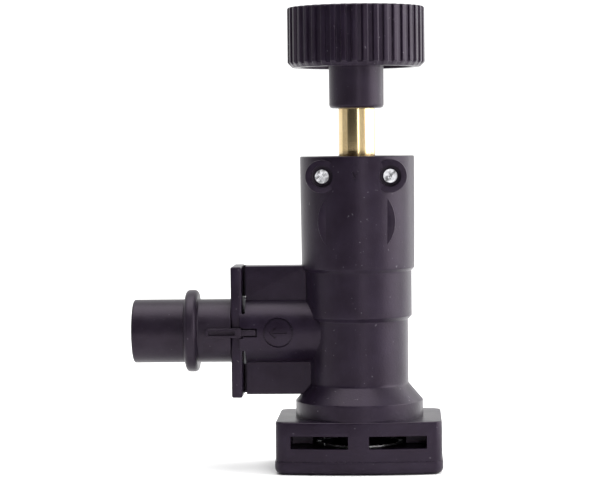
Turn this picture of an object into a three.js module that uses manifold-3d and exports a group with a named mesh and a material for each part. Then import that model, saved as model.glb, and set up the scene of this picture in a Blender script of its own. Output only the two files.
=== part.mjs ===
// Boiler filling valve: a hand-turned stop valve with a push-fit socket below
// and a quick-fit spigot at its side. Millimetres, +Z up, valve axis on Z,
// underside at z = 0, front towards -Y, side spigot towards -X.
// It stands fully open: the disc is at the top of its travel.

import * as THREE from "three";
import { mergeVertices } from "three/addons/utils/BufferGeometryUtils.js";
import Module from "manifold-3d";

const wasm = await Module();
wasm.setup();

// ---------------------------------------------------------------- clearances
const runningGap = 0.08; // round the turning spindle
const slipGap = 0.2; // round a piece pushed into its bore
const seatGap = 0.3; // between a cut piece and the piece that cuts it
const stackGap = 0.05; // between flat faces that meet
const snugGap = 0.1; // round a piece that its bore centres
const threadGap = 0.15; // between the spindle's thread and the bush
const sealGap = 0.07; // between a relaxed seal and the bore round it
const sealFloorGap = 0.12; // spare depth of a seal's groove
const sealRoom = 0.2; // spare length of a seal's groove at each end
const through = 2; // how far a cutting shape runs past the face it opens

// ------------------------------------------------- driving sizes: valve body
const baseHeight = 2.8;
const weldGap = 0.15;
const collarHeight = 8.55;
const collarHalfWidth = 18.1;
const collarLedge = 0.1; // the collar stands this far in front of the neck above it
const collarBow = 1.8; // rise of the curved front between its corners
const collarCorner = 2.2;
const neckRadius = 14.1;
const neckHeight = 3.5;
const coneHeight = 3.7;
const waistRadius = 10.95;
const waistHeight = 14.1;
const lowerStepHeight = 0.9;
const middleRadius = 11.8;
const middleHeight = 9.9;
const upperStepHeight = 0.7;
const upperFootRadius = 12.45;
const upperRadius = 12.6;
const upperHeight = 24.6;

const throatRadius = 4.3;
const seatLipWidth = 1.3;
const seatLipHeight = 1.5;
const seatAboveCone = 3.3;
const chamberRadius = 7.6;
const glandShelfWidth = 0.9;
const glandBoreRadius = chamberRadius + glandShelfWidth;
const glandShelfRise = 3.7; // the gland's shelf above the foot of the upper barrel

const windowHeight = 2.8;
const windowRise = 2.75; // window sill above the collar's underside
const windowBarHalfWidth = 2.25;
const windowEndWall = 3.35;
const windowFloor = 4.0; // windows end this far in front of the axis
const gateNubRadius = 1.1;
const gateNubReach = 0.2; // the gate's stub beyond the collar's side

// -------------------------------------------------- driving sizes: pipe socket
const pipeRadius = 9.0;
const mouthChamfer = 0.8;
const baseOverhang = 0.2;
const baseEdge = 1.3;
const socketWall = 2.0; // room beside the pipe for the gripping rings
const sealWall = 1.2; // room beside the pipe for the seal
const ringSpaceDrop = 2.8; // end of the rings' space below the collar's top
const sealSpaceRise = 1.9; // end of the seal's space above the collar's top
const pipeSpaceRise = 3.1; // end of the pipe's space above the collar's top
const inletInset = 2.0; // inlet chamber inside the pipe's outside
const inletRise = 1.2; // end of the inlet chamber above the neck
const socketSealRadius = 0.9;
const backingRingGap = 0.25; // beside the pipe
const grabRingThickness = 0.5;
const grabRingBand = 0.7; // unbroken part of the ring, outside the pipe
const grabRingBite = 0.4; // how far the relaxed teeth reach inside the pipe's outside
const toothDepth = 0.7;
const toothGapHalfWidth = 0.45;
const toothCount = 12;
const spacerDrop = 0.85; // spacer's top below the collar's top
const spacerHeight = 1.8;
const strainerThickness = 1.0;
const strainerHoleRadius = 0.85;
const strainerHoleRings = [[1, 0], [6, 3.0], [12, 6.0]]; // holes in each ring, and its radius

// ------------------------------------------------------ driving sizes: spigot
const armAboveSeat = 8.5;
const bossWall = 1.8;
const webReach = 13.85; // from the waist to the slot behind the end plate
const webHalfThickness = 2.65;
const webTop = 14.4;
const webBottom = 14.0;
const slotWidth = 0.7;
const plateThickness = 2.4;
const plateHalfDepth = 6.2;
const plateHalfHeight = 14.4;
const spigotLength = 22.0;
const spigotRadius = 7.03;
const spigotBore = 5.5;
const tailRadius = 5.4;
const tailBore = 3.3;
const beadRadius = 9.1;
const beadHalfWidth = 1.5;
const beadDistance = 8.9; // bead centre beyond the end plate
const keyHalfWidth = 1.03;
const keyLength = 8.0;
const keyHeight = 0.85;
const tongueHalfWidth = 0.7;
const tongueLength = 3.1;
const keyGap = 0.25;
const forkThickness = 0.5;
const forkGrooveDepth = 1.2;
const forkSlotOverlap = 0.15; // slot's end inside the groove's floor
const forkProngWidth = 2.9;
const forkProngTip = -2.0; // how far the prongs reach past the spigot's axis
const forkBridgeWidth = 2.8;
const armBoreReach = 3.25; // floor of the arm's bore beyond the waist
const spigotSealReach = 4.5; // seal beyond the spigot's inner end
const spigotSealRadius = 0.62;

// ------------------------------------------------- driving sizes: check valve
const cageLength = 11.0;
const cageWall = 0.9;
const cageSeatThickness = 1.3;
const poppetGap = 0.8; // round the head in the cage
const poppetSeatWidth = 1.0;
const poppetThickness = 1.2;
const poppetSealThickness = 0.45;
const poppetStemRadius = 0.9;
const poppetStemOverhang = 1.6; // stem beyond the guide
const guideThickness = 1.2;
const guideRimWidth = 0.7;
const guideArmHalf = 0.45;
const springWireRadius = 0.3;
const springTurns = 5;

// ------------------------------------------------- driving sizes: head and disc
const spindleRadius = 4.0;
const threadRise = 0.6; // thread crest above the plain spindle
const lift = 4.5;
const closedGap = 0.1;
const washerCover = 0.4; // washer beyond the seat's lip
const washerRadius = throatRadius + seatLipWidth + washerCover;
const washerThickness = 2.2;
const discScrewRadius = 1.2;
const discScrewHeadHeight = 1.1;
const holderHeight = 9.2;
const holderFlange = 2.0;
const holderWall = 2.4; // round the spindle's nose
const guideRibHalf = 0.6;
const noseRadius = 2.6;
const noseLength = 4.6;
const noseNeckStep = 0.8; // spindle's neck outside its nose
const clipDrop = 1.5; // clip below the holder's top
const clipHalfHeight = 0.3;
const clipGrooveDepth = 0.6;
const clipReach = 0.95; // clip outside the nose
const bushNoseLength = 3.2;
const bushNoseGap = 0.6; // round the bush's nose in the chamber
const bushNoseRadius = chamberRadius - bushNoseGap;
const bushThreadDepth = 6.5; // thread above the gland's shelf
const bushDrop = 0.6; // bush top below the body's rim
const glandSealRise = 1.9; // gland seal above the bush's thread
const glandSealRadius = 0.92;
const spindleSealRise = 1.7; // lower spindle seal above the bush's thread, valve closed
const spindleSealRadius = 0.55;
const spindleSealPitch = 4.0;
const threadOverrun = 2.8; // spindle's thread below the bush
const wiperDepth = 1.4;
const wiperWidth = 1.4;

const stapleWireRadius = 1.5;
const stapleBite = 2.6; // how far the wire reaches into the gland bore
const stapleDrop = 4.3; // staple below the body's rim
const stapleCorner = 3.0;
const stapleBossRadius = 3.6;
const stapleBossInset = 1.2; // boss face behind the front of the barrel
const stapleTipInset = 0.2; // cut ends below the boss face
const stapleWellStep = 0.9; // well round each leg outside the bow's bend
const stapleWellDepth = 1.6;
const markDrop = 14.1;
const markOuterRadius = 8.4;
const markInnerRadius = 6.6;
const markInset = 2.1;

// ------------------------------------------------- driving sizes: handwheel
const hubRise = 10.5; // hub above the body's rim
const hubRadius = 6.0;
const hubLength = 9.0;
const wheelRadius = 15.1;
const wheelHeight = 13.2;
const ribCount = 40;
const ribDepth = 0.5;
const rimThickness = 2.75;
const crownThickness = 3.8;
const dishDepth = 0.8;
const dishLip = 0.9; // dish beyond the rim's inside
const screwWellDepth = 5.0;
const squareHalfWidth = 2.5;
const shoulderDepth = 3.6; // round spindle inside the hub before the square
const wheelScrewRadius = 1.2;
const wheelScrewHeadRadius = 2.9;
const wheelScrewHeadHeight = 2.0;
const wheelWasherRadius = 3.8;
const wheelWasherThickness = 0.6;
const screwWellRadius = 4.4;

// ---------------------------------------------------------------- levels
const collarBottom = baseHeight + weldGap;
const collarTop = collarBottom + collarHeight;
const neckTop = collarTop + neckHeight;
const coneTop = neckTop + coneHeight;
const waistTop = coneTop + waistHeight;
const middleBottom = waistTop + lowerStepHeight;
const middleTop = middleBottom + middleHeight;
const upperBottom = middleTop + upperStepHeight;
const bodyTop = upperBottom + upperHeight;
const seatTop = coneTop + seatAboveCone;
const armHeight = seatTop + armAboveSeat;
const glandShelf = upperBottom + glandShelfRise;
const stapleHeight = bodyTop - stapleDrop;
const markHeight = bodyTop - markDrop;
const hubBottom = bodyTop + hubRise;
const wheelBottom = hubBottom + hubLength;
const wheelTop = wheelBottom + wheelHeight;

const socketRadius = pipeRadius + socketWall;
const sealBoreRadius = pipeRadius + sealWall;
const stapleOffset = glandBoreRadius - stapleBite + stapleWireRadius;
const stapleGrooveRadius = stapleOffset - stapleWireRadius - seatGap;

// distances from the valve axis along the side arm
const armBoreEnd = waistRadius + armBoreReach;
const webEnd = waistRadius + webReach;
const plateNear = webEnd + slotWidth;
const plateFar = plateNear + plateThickness;
const spigotShoulder = plateFar + stackGap;
const spigotEnd = plateFar + spigotLength;
const armBoreRadius = tailRadius + slipGap;
const bossRadius = armBoreRadius + bossWall;
const forkGrooveRadius = tailRadius - forkGrooveDepth;
const slotHalfBridge = forkGrooveRadius - forkSlotOverlap;

// ---------------------------------------------------------------- shape tools
const FINE = 32;
const COARSE = 20;

/** Three equal steps round a circle. */
const thirds = [0, 1, 2].map((i) => (i * 2 * Math.PI) / 3);

/** A closed three.js geometry as a solid that can be joined and cut. */
function solidOf(geometry) {
  const bare = geometry.clone();
  bare.deleteAttribute("normal");
  bare.deleteAttribute("uv");
  const merged = mergeVertices(bare, 1e-4);
  return new wasm.Manifold(
    new wasm.Mesh({
      numProp: 3,
      vertProperties: new Float32Array(merged.attributes.position.array),
      triVerts: new Uint32Array(merged.index.array),
    }),
  );
}

/** A solid as a three.js geometry. */
function geometryOf(solid) {
  const mesh = solid.getMesh();
  const geometry = new THREE.BufferGeometry();
  geometry.setAttribute("position", new THREE.BufferAttribute(new Float32Array(mesh.vertProperties), 3));
  geometry.setIndex(new THREE.BufferAttribute(new Uint32Array(mesh.triVerts), 1));
  geometry.computeVertexNormals();
  return geometry;
}

/** All the geometries as one. */
function join(...geometries) {
  return geometryOf(geometries.map(solidOf).reduce((whole, next) => whole.add(next)));
}

/** The first geometry without the others. */
function cut(base, ...tools) {
  return geometryOf(tools.map(solidOf).reduce((whole, tool) => whole.subtract(tool), solidOf(base)));
}

/** A profile of [radius, height] points, anticlockwise, turned about Z. */
function turned(profile, segments = FINE) {
  const points = profile.map(([radius, height]) => new THREE.Vector2(radius, height));
  const meetsAxis = profile[0][0] === 0 && profile.at(-1)[0] === 0;
  if (!meetsAxis) points.push(points[0].clone());
  return new THREE.LatheGeometry(points, segments).rotateX(Math.PI / 2);
}

/** A round bar along Z. */
function bar(radius, bottom, top, segments = FINE) {
  return turned([[0, bottom], [radius, bottom], [radius, top], [0, top]], segments);
}

/** A round tube along Z. */
function tube(inner, outer, bottom, top, segments = FINE) {
  return turned([[inner, bottom], [outer, bottom], [outer, top], [inner, top]], segments);
}

/** A box between two opposite corners. */
function block([x0, y0, z0], [x1, y1, z1]) {
  return new THREE.BoxGeometry(x1 - x0, y1 - y0, z1 - z0).translate(
    (x0 + x1) / 2,
    (y0 + y1) / 2,
    (z0 + z1) / 2,
  );
}

/** A flat shape made solid between two heights, its edges bevelled if asked. */
function plate(shape, bottom, top, curveSegments = 8, bevel = 0) {
  return new THREE.ExtrudeGeometry(shape, {
    depth: top - bottom - 2 * bevel,
    curveSegments,
    bevelEnabled: bevel > 0,
    bevelThickness: bevel,
    bevelSize: bevel,
    bevelOffset: -bevel,
    bevelSegments: 2,
  }).translate(0, 0, bottom + bevel);
}

/** Turns a shape made along Z to lie along the side arm, at the arm's height. */
function alongArm(geometry) {
  return geometry.rotateY(-Math.PI / 2).translate(0, 0, armHeight);
}

/** Turns a shape made along Z to point to the front, at the given place. */
function toFront(geometry, x, z) {
  return geometry.rotateX(Math.PI / 2).translate(x, 0, z);
}

/** A rubber ring about Z. */
function sealRing(ringRadius, sectionRadius, height) {
  return new THREE.TorusGeometry(ringRadius, sectionRadius, 6, FINE).translate(0, 0, height);
}

/** A rectangle with bowed front and back, straight sides and round corners. */
function bowedPlan(halfWidth, halfDepth, bow, corner) {
  const chord = halfWidth;
  const bowRadius = (chord * chord + bow * bow) / (2 * bow);
  const bowCentre = bowRadius - halfDepth;
  const cornerX = halfWidth - corner;
  const cornerY = Math.sqrt((bowRadius - corner) ** 2 - cornerX ** 2) - bowCentre;
  const meeting = Math.atan2(cornerY + bowCentre, cornerX);
  const shape = new THREE.Shape();
  shape.absarc(cornerX, cornerY, corner, 0, meeting);
  shape.absarc(0, -bowCentre, bowRadius, meeting, Math.PI - meeting);
  shape.absarc(-cornerX, cornerY, corner, Math.PI - meeting, Math.PI);
  shape.absarc(-cornerX, -cornerY, corner, Math.PI, Math.PI + meeting);
  shape.absarc(0, bowCentre, bowRadius, Math.PI + meeting, 2 * Math.PI - meeting);
  shape.absarc(cornerX, -cornerY, corner, -meeting, 0);
  return shape;
}

// ---------------------------------------------------------------- finishes
const nylon = { color: 0x1c1a1f, roughness: 0.55, metalness: 0 };
const clearedNylon = { color: 0x242226, roughness: 0.65, metalness: 0 };
const acetal = { color: 0xd8d6ce, roughness: 0.4, metalness: 0 };
const rubber = { color: 0x101012, roughness: 0.8, metalness: 0 };
const brass = { color: 0xc9a25a, roughness: 0.25, metalness: 1 };
const steel = { color: 0xb9bcc0, roughness: 0.35, metalness: 1 };

/** A named sub-part with a material of its own. */
function part(name, geometry, finish) {
  const mesh = new THREE.Mesh(geometry, new THREE.MeshStandardMaterial(finish));
  mesh.name = name;
  return mesh;
}

// ---------------------------------------------------------------- valve body
function valveBody() {
  const collar = plate(
    bowedPlan(collarHalfWidth, neckRadius + collarLedge, collarBow, collarCorner),
    collarBottom,
    collarTop,
    5,
    0.4,
  );
  const barrel = turned([
    [0, collarTop - 1],
    [neckRadius, collarTop - 1],
    [neckRadius, neckTop],
    [waistRadius, coneTop],
    [waistRadius, waistTop],
    [middleRadius, middleBottom],
    [middleRadius, middleTop],
    [upperFootRadius, upperBottom],
    [upperRadius, bodyTop],
    [0, bodyTop],
  ]);
  const boss = alongArm(bar(bossRadius, 0, plateNear + 0.5));
  const web = block(
    [-webEnd, -webHalfThickness, armHeight - webBottom],
    [0, webHalfThickness, armHeight + webTop],
  );
  const endPlate = block(
    [-plateFar, -plateHalfDepth, armHeight - plateHalfHeight],
    [-plateNear, plateHalfDepth, armHeight + plateHalfHeight],
  );
  const stapleBossFace = upperRadius - stapleBossInset;
  const stapleBosses = [-stapleOffset, stapleOffset].map((x) =>
    toFront(bar(stapleBossRadius, -stapleBossFace, stapleBossFace, COARSE), x, stapleHeight),
  );
  const ringMark = toFront(tube(markInnerRadius, markOuterRadius, 0, upperRadius - markInset), 0, markHeight);
  const gateNub = new THREE.CylinderGeometry(gateNubRadius, gateNubRadius, 2 * gateNubReach + 1, 16)
    .rotateZ(Math.PI / 2)
    .translate(collarHalfWidth - 0.5, 0, (collarBottom + collarTop) / 2);
  const outside = join(collar, barrel, boss, web, endPlate, ...stapleBosses, ringMark, gateNub);

  const glandBore = bar(glandBoreRadius, glandShelf, bodyTop + through);
  const chamber = turned([
    [0, seatTop],
    [throatRadius + seatLipWidth, seatTop],
    [throatRadius + seatLipWidth, seatTop - seatLipHeight],
    [chamberRadius, seatTop - seatLipHeight],
    [chamberRadius, glandShelf + through],
    [0, glandShelf + through],
  ]);
  const throat = bar(throatRadius, neckTop, seatTop + through, COARSE);
  const socket = turned([
    [0, collarBottom - through],
    [socketRadius, collarBottom - through],
    [socketRadius, collarTop - ringSpaceDrop],
    [sealBoreRadius, collarTop - ringSpaceDrop],
    [sealBoreRadius, collarTop + sealSpaceRise],
    [pipeRadius, collarTop + sealSpaceRise],
    [pipeRadius, collarTop + pipeSpaceRise],
    [pipeRadius - inletInset, collarTop + pipeSpaceRise],
    [pipeRadius - inletInset, neckTop + inletRise],
    [0, neckTop + inletRise],
  ]);
  const windowSill = collarBottom + windowRise;
  const windows = [-1, 1].map((side) => {
    const near = side * windowBarHalfWidth;
    const far = side * (collarHalfWidth - windowEndWall);
    return block(
      [Math.min(near, far), -neckRadius - through, windowSill],
      [Math.max(near, far), -windowFloor, windowSill + windowHeight],
    );
  });
  const armBore = alongArm(bar(armBoreRadius, armBoreEnd, plateFar + through));
  const armPort = alongArm(bar(tailBore + slipGap, 0, armBoreEnd + 1, COARSE));
  const slots = [-1, 1].map((side) => {
    const near = armHeight + side * slotHalfBridge;
    const far = armHeight + side * (plateHalfHeight + through);
    const depth = plateHalfDepth + through;
    return block([-plateNear, -depth, Math.min(near, far)], [-webEnd, depth, Math.max(near, far)]);
  });
  const keyNotches = [
    [keyHalfWidth, 0],
    [tongueHalfWidth, tongueLength],
  ].map(([halfWidth, reach]) =>
    block(
      [-plateFar, -bossRadius - through, armHeight - halfWidth - keyGap],
      [-plateNear + reach + seatGap, -plateHalfDepth, armHeight + halfWidth + keyGap],
    ),
  );
  const stapleHole = () => bar(stapleWireRadius + slipGap, -upperRadius - through, upperRadius + through, 24);
  const stapleWell = () =>
    bar(stapleWireRadius + stapleWellStep, stapleBossFace - stapleWellDepth, stapleBossFace + through, 24);
  const stapleCuts = [-stapleOffset, stapleOffset].flatMap((x) => [
    toFront(stapleHole(), x, stapleHeight),
    toFront(stapleWell(), x, stapleHeight),
  ]);
  return cut(
    outside,
    glandBore,
    chamber,
    throat,
    socket,
    ...windows,
    armBore,
    armPort,
    ...slots,
    ...keyNotches,
    ...stapleCuts,
  );
}

// ---------------------------------------------------------------- pipe socket
function baseRing() {
  const outline = bowedPlan(
    collarHalfWidth + baseOverhang,
    neckRadius + collarLedge + baseOverhang,
    collarBow,
    collarCorner + baseOverhang,
  );
  const slab = plate(outline, 0, baseHeight + baseEdge, 5, baseEdge);
  const topHalf = block([-50, -50, baseHeight], [50, 50, baseHeight + 10]);
  const bore = turned([
    [0, -through],
    [pipeRadius + slipGap + mouthChamfer + through, -through],
    [pipeRadius + slipGap, mouthChamfer],
    [pipeRadius + slipGap, baseHeight + through],
    [0, baseHeight + through],
  ]);
  return cut(slab, topHalf, bore);
}

const grabRingBottom = collarBottom + windowRise - grabRingThickness / 2;
const backingRing = () =>
  tube(pipeRadius + backingRingGap, socketRadius - slipGap, baseHeight + seatGap, grabRingBottom - stackGap);

/** Spring-steel ring whose teeth lean on the pipe. */
function grabRing() {
  const inner = pipeRadius - grabRingBite;
  const ring = tube(inner, pipeRadius + grabRingBand, grabRingBottom, grabRingBottom + grabRingThickness);
  const gap = () =>
    block([inner - 1, -toothGapHalfWidth, 0], [inner + toothDepth, toothGapHalfWidth, collarTop]);
  const gaps = Array.from({ length: toothCount }, (_, i) => gap().rotateZ((i * 2 * Math.PI) / toothCount));
  return cut(ring, ...gaps);
}

const spacerTop = collarTop - spacerDrop;
const spacerRing = () =>
  tube(pipeRadius + slipGap, sealBoreRadius - snugGap, spacerTop - spacerHeight, spacerTop);
const socketSealHeight = spacerTop + sealRoom + socketSealRadius;
const socketSealMiddle = sealBoreRadius - sealGap - socketSealRadius;
const socketSeal = () => sealRing(socketSealMiddle, socketSealRadius, socketSealHeight);

/** Moulded disc with round holes in two rings about a middle one. */
function strainer() {
  const bottom = collarTop + sealSpaceRise + snugGap;
  const top = bottom + strainerThickness;
  const holes = strainerHoleRings.flatMap(([count, radius]) =>
    Array.from({ length: count }, (_, i) => {
      const angle = (i * 2 * Math.PI) / count;
      const hole = bar(strainerHoleRadius, bottom - 1, top + 1, 8);
      return hole.translate(radius * Math.cos(angle), radius * Math.sin(angle), 0);
    }),
  );
  return cut(bar(pipeRadius - slipGap, bottom, top), ...holes);
}

// ---------------------------------------------------------------- head
const bushBottom = glandShelf - bushNoseLength;
const bushTop = bodyTop - bushDrop;
const bushThreadTop = glandShelf + bushThreadDepth;
const glandSealHeight = bushThreadTop + glandSealRise;
const bushRadius = glandBoreRadius - slipGap;

/** Bush with an outer seal groove, a groove for the staple and a well for the wiper. */
function glandBush() {
  const sealFloor = glandBoreRadius - 2 * glandSealRadius - sealFloorGap;
  const sealHalf = glandSealRadius + sealRoom;
  const stapleHalf = stapleWireRadius + slipGap;
  const wellRadius = spindleRadius + wiperWidth + runningGap;
  return turned([
    [spindleRadius + threadRise + threadGap, bushBottom],
    [bushNoseRadius, bushBottom],
    [bushNoseRadius, glandShelf + seatGap],
    [bushRadius, glandShelf + seatGap],
    [bushRadius, glandSealHeight - sealHalf],
    [sealFloor, glandSealHeight - sealHalf],
    [sealFloor, glandSealHeight + sealHalf],
    [bushRadius, glandSealHeight + sealHalf],
    [bushRadius, stapleHeight - stapleHalf],
    [stapleGrooveRadius, stapleHeight - stapleHalf],
    [stapleGrooveRadius, stapleHeight + stapleHalf],
    [bushRadius, stapleHeight + stapleHalf],
    [bushRadius, bushTop],
    [wellRadius, bushTop],
    [wellRadius, bushTop - wiperDepth],
    [spindleRadius + runningGap, bushTop - wiperDepth],
    [spindleRadius + runningGap, bushThreadTop],
    [spindleRadius + threadRise + threadGap, bushThreadTop],
  ]);
}

const glandSealMiddle = glandBoreRadius - sealGap - glandSealRadius;
const glandSeal = () => sealRing(glandSealMiddle, glandSealRadius, glandSealHeight);
const spindleWiper = () =>
  tube(
    spindleRadius + runningGap,
    spindleRadius + wiperWidth,
    bushTop - wiperDepth + stackGap,
    bushTop - stackGap,
  );

/** Bent wire: two straight legs through the body and a bow behind it. */
function glandStaple() {
  const tip = -(upperRadius - stapleBossInset - stapleTipInset);
  const bow = upperRadius + stapleWireRadius + seatGap;
  const path = new THREE.CurvePath();
  const corner = (x0, y0, xc, yc, x1, y1) =>
    path.add(
      new THREE.QuadraticBezierCurve3(
        new THREE.Vector3(x0, y0, 0),
        new THREE.Vector3(xc, yc, 0),
        new THREE.Vector3(x1, y1, 0),
      ),
    );
  const straight = (x0, y0, x1, y1) =>
    path.add(new THREE.LineCurve3(new THREE.Vector3(x0, y0, 0), new THREE.Vector3(x1, y1, 0)));
  const x = stapleOffset;
  const turn = stapleCorner;
  straight(-x, tip, -x, bow - turn);
  corner(-x, bow - turn, -x, bow, -x + turn, bow);
  straight(-x + turn, bow, x - turn, bow);
  corner(x - turn, bow, x, bow, x, bow - turn);
  straight(x, bow - turn, x, tip);
  const section = new THREE.Shape().absarc(0, 0, stapleWireRadius, 0, 2 * Math.PI);
  return new THREE.ExtrudeGeometry(section, {
    steps: 32,
    curveSegments: 5,
    bevelEnabled: false,
    extrudePath: path,
  }).translate(0, 0, stapleHeight);
}

// ---------------------------------------------------------------- disc
const washerBottom = seatTop + closedGap + lift;
const washerTop = washerBottom + washerThickness;
const holderBottom = washerTop + stackGap;
const holderTop = holderBottom + holderHeight;
const noseSocketFloor = holderTop - noseLength - 0.4;
const clipHeight = holderTop - clipDrop;
const discScrewEnd = noseSocketFloor - 1.2;

/** Guided carrier: cup for the spindle's nose above, thread for the disc screw below. */
function discHolder() {
  const flangeRadius = washerRadius + 0.2;
  const cupRadius = noseRadius + holderWall;
  const core = turned([
    [0, holderBottom],
    [flangeRadius, holderBottom],
    [flangeRadius, holderBottom + holderFlange],
    [cupRadius, holderBottom + holderFlange + 1],
    [cupRadius, holderTop],
    [0, holderTop],
  ]);
  const rib = () =>
    block(
      [0, -guideRibHalf, holderBottom],
      [chamberRadius - slipGap, guideRibHalf, holderTop - 1],
    );
  const ribs = thirds.map((angle) => rib().rotateZ(angle));
  const clipHalf = clipHalfHeight + snugGap;
  const clipSpace = noseRadius + clipReach + threadGap;
  const noseSocket = turned([
    [0, noseSocketFloor],
    [noseRadius + slipGap, noseSocketFloor],
    [noseRadius + slipGap, clipHeight - clipHalf],
    [clipSpace, clipHeight - clipHalf],
    [clipSpace, clipHeight + clipHalf],
    [noseRadius + slipGap, clipHeight + clipHalf],
    [noseRadius + slipGap, holderTop + through],
    [0, holderTop + through],
  ]);
  const screwHole = bar(discScrewRadius + slipGap, holderBottom - through, discScrewEnd + seatGap, 24);
  return cut(join(core, ...ribs), noseSocket, screwHole);
}

const discWasher = () => tube(discScrewRadius + slipGap, washerRadius, washerBottom, washerTop);

/** Cheese-head screw with a straight slot, its head below the washer. */
function discScrew() {
  const headBottom = washerBottom - stackGap - discScrewHeadHeight;
  const headRadius = 2 * discScrewRadius + 0.1;
  const screw = turned(
    [
      [0, headBottom],
      [headRadius, headBottom],
      [headRadius, washerBottom - stackGap],
      [discScrewRadius, washerBottom - stackGap],
      [discScrewRadius, discScrewEnd],
      [0, discScrewEnd],
    ],
    24,
  );
  const slot = block([-headRadius - 1, -0.3, headBottom - 1], [headRadius + 1, 0.3, headBottom + 0.5]);
  return cut(screw, slot);
}

// ---------------------------------------------------------------- spindle
const threadTop = bushThreadTop - 0.5;
const threadBottom = bushBottom - threadOverrun;
const shoulderTop = hubBottom + shoulderDepth;
const lowerSealHeight = bushThreadTop + lift + spindleSealRise;
const upperSealHeight = lowerSealHeight + spindleSealPitch;
const screwSeat = wheelTop - dishDepth - screwWellDepth;
const squareTop = screwSeat - 0.8;
const spindleSealFloor = spindleRadius - 2 * spindleSealRadius - sealFloorGap;

/** Stem from the nose in the disc holder up to the square in the handwheel. */
function spindle() {
  const sealHalf = spindleSealRadius + sealRoom;
  const noseBottom = holderTop - noseLength;
  const clipFloor = noseRadius - clipGrooveDepth;
  const clipHalf = clipHalfHeight + snugGap;
  const stem = turned([
    [0, noseBottom],
    [noseRadius, noseBottom],
    [noseRadius, clipHeight - clipHalf],
    [clipFloor, clipHeight - clipHalf],
    [clipFloor, clipHeight + clipHalf],
    [noseRadius, clipHeight + clipHalf],
    [noseRadius, holderTop + 0.4],
    [noseRadius + noseNeckStep, holderTop + 0.6],
    [noseRadius + noseNeckStep, threadBottom],
    [spindleRadius + threadRise, threadBottom + 0.6],
    [spindleRadius + threadRise, threadTop],
    [spindleRadius, threadTop],
    [spindleRadius, lowerSealHeight - sealHalf],
    [spindleSealFloor, lowerSealHeight - sealHalf],
    [spindleSealFloor, lowerSealHeight + sealHalf],
    [spindleRadius, lowerSealHeight + sealHalf],
    [spindleRadius, upperSealHeight - sealHalf],
    [spindleSealFloor, upperSealHeight - sealHalf],
    [spindleSealFloor, upperSealHeight + sealHalf],
    [spindleRadius, upperSealHeight + sealHalf],
    [spindleRadius, shoulderTop],
    [0, shoulderTop],
  ]);
  const square = block(
    [-squareHalfWidth, -squareHalfWidth, shoulderTop - 0.5],
    [squareHalfWidth, squareHalfWidth, squareTop],
  );
  const screwHole = bar(wheelScrewRadius + slipGap, squareTop - 9, squareTop + through, 24);
  return cut(join(stem, square), screwHole);
}

const spindleSeal = (height) =>
  sealRing(spindleRadius - spindleSealRadius, spindleSealRadius, height);

/** Open wire ring that keeps the nose in the holder. */
function spindleClip() {
  const ring = tube(
    noseRadius - clipGrooveDepth + snugGap,
    noseRadius + clipReach,
    clipHeight - clipHalfHeight,
    clipHeight + clipHalfHeight,
    COARSE,
  );
  return cut(ring, block([0, -0.8, clipHeight - 1], [noseRadius + 2, 0.8, clipHeight + 1]));
}

// ---------------------------------------------------------------- handwheel
/** Ribbed rim, flat crown with a screw well, and a hub with a square socket. */
function handwheel() {
  const pitch = (2 * Math.PI) / ribCount;
  const rootRadius = wheelRadius - ribDepth;
  const outline = new THREE.Shape();
  const point = (radius, angle) => new THREE.Vector2(radius * Math.cos(angle), radius * Math.sin(angle));
  const points = [];
  for (let i = 0; i < ribCount; i++) {
    const start = i * pitch;
    points.push(point(rootRadius, start));
    points.push(point(wheelRadius, start + 0.06 * pitch));
    points.push(point(wheelRadius, start + 0.5 * pitch));
    points.push(point(rootRadius, start + 0.56 * pitch));
  }
  outline.setFromPoints(points);
  const rim = plate(outline, wheelBottom, wheelTop);
  const hub = turned([
    [0, hubBottom],
    [hubRadius - 0.6, hubBottom],
    [hubRadius, hubBottom + 0.6],
    [hubRadius, wheelTop - dishDepth - 1],
    [0, wheelTop - dishDepth - 1],
  ]);
  const crownUnderside = wheelTop - dishDepth - crownThickness;
  const hollow = tube(
    hubRadius - 1,
    wheelRadius - rimThickness,
    wheelBottom - through,
    crownUnderside,
  );
  const dish = bar(wheelRadius - rimThickness + dishLip, wheelTop - dishDepth, wheelTop + through);
  const screwWell = bar(screwWellRadius, screwSeat, wheelTop + through, COARSE);
  const spindleBore = bar(spindleRadius + slipGap, hubBottom - through, shoulderTop + 0.1);
  const socketHalf = squareHalfWidth + slipGap;
  const squareSocket = block(
    [-socketHalf, -socketHalf, shoulderTop - 1],
    [socketHalf, socketHalf, screwSeat + 1],
  );
  return cut(join(cut(rim, hollow), hub), dish, screwWell, spindleBore, squareSocket);
}

const wheelWasherBottom = screwSeat + stackGap;
const wheelWasherTop = wheelWasherBottom + wheelWasherThickness;
const wheelWasher = () =>
  tube(wheelScrewRadius + slipGap, wheelWasherRadius, wheelWasherBottom, wheelWasherTop, COARSE);

/** Pan-head screw with a cross recess. */
function wheelScrew() {
  const seat = wheelWasherTop + stackGap;
  const head = seat + wheelScrewHeadHeight;
  const screw = turned(
    [
      [0, squareTop - 8],
      [wheelScrewRadius, squareTop - 8],
      [wheelScrewRadius, seat],
      [wheelScrewHeadRadius, seat],
      [wheelScrewHeadRadius, head - 0.8],
      [wheelScrewHeadRadius - 0.8, head],
      [0, head],
    ],
    24,
  );
  const arms = [
    block([-1.5, -0.35, head - 1.1], [1.5, 0.35, head + 1]),
    block([-0.35, -1.5, head - 1.1], [0.35, 1.5, head + 1]),
  ];
  return cut(screw, ...arms);
}

// ------------------------------------------------------- spigot, along the arm
// These are made along local Z, which the arm's group lays along -X. Local +X
// then points up and local Y stays as it is.
const tailEnd = armBoreEnd + seatGap;
const spigotSealDistance = tailEnd + spigotSealReach;
const forkDistance = webEnd + slotWidth / 2;
const cageNear = spigotShoulder + 1.5;
const cageFar = cageNear + cageLength;

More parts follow.
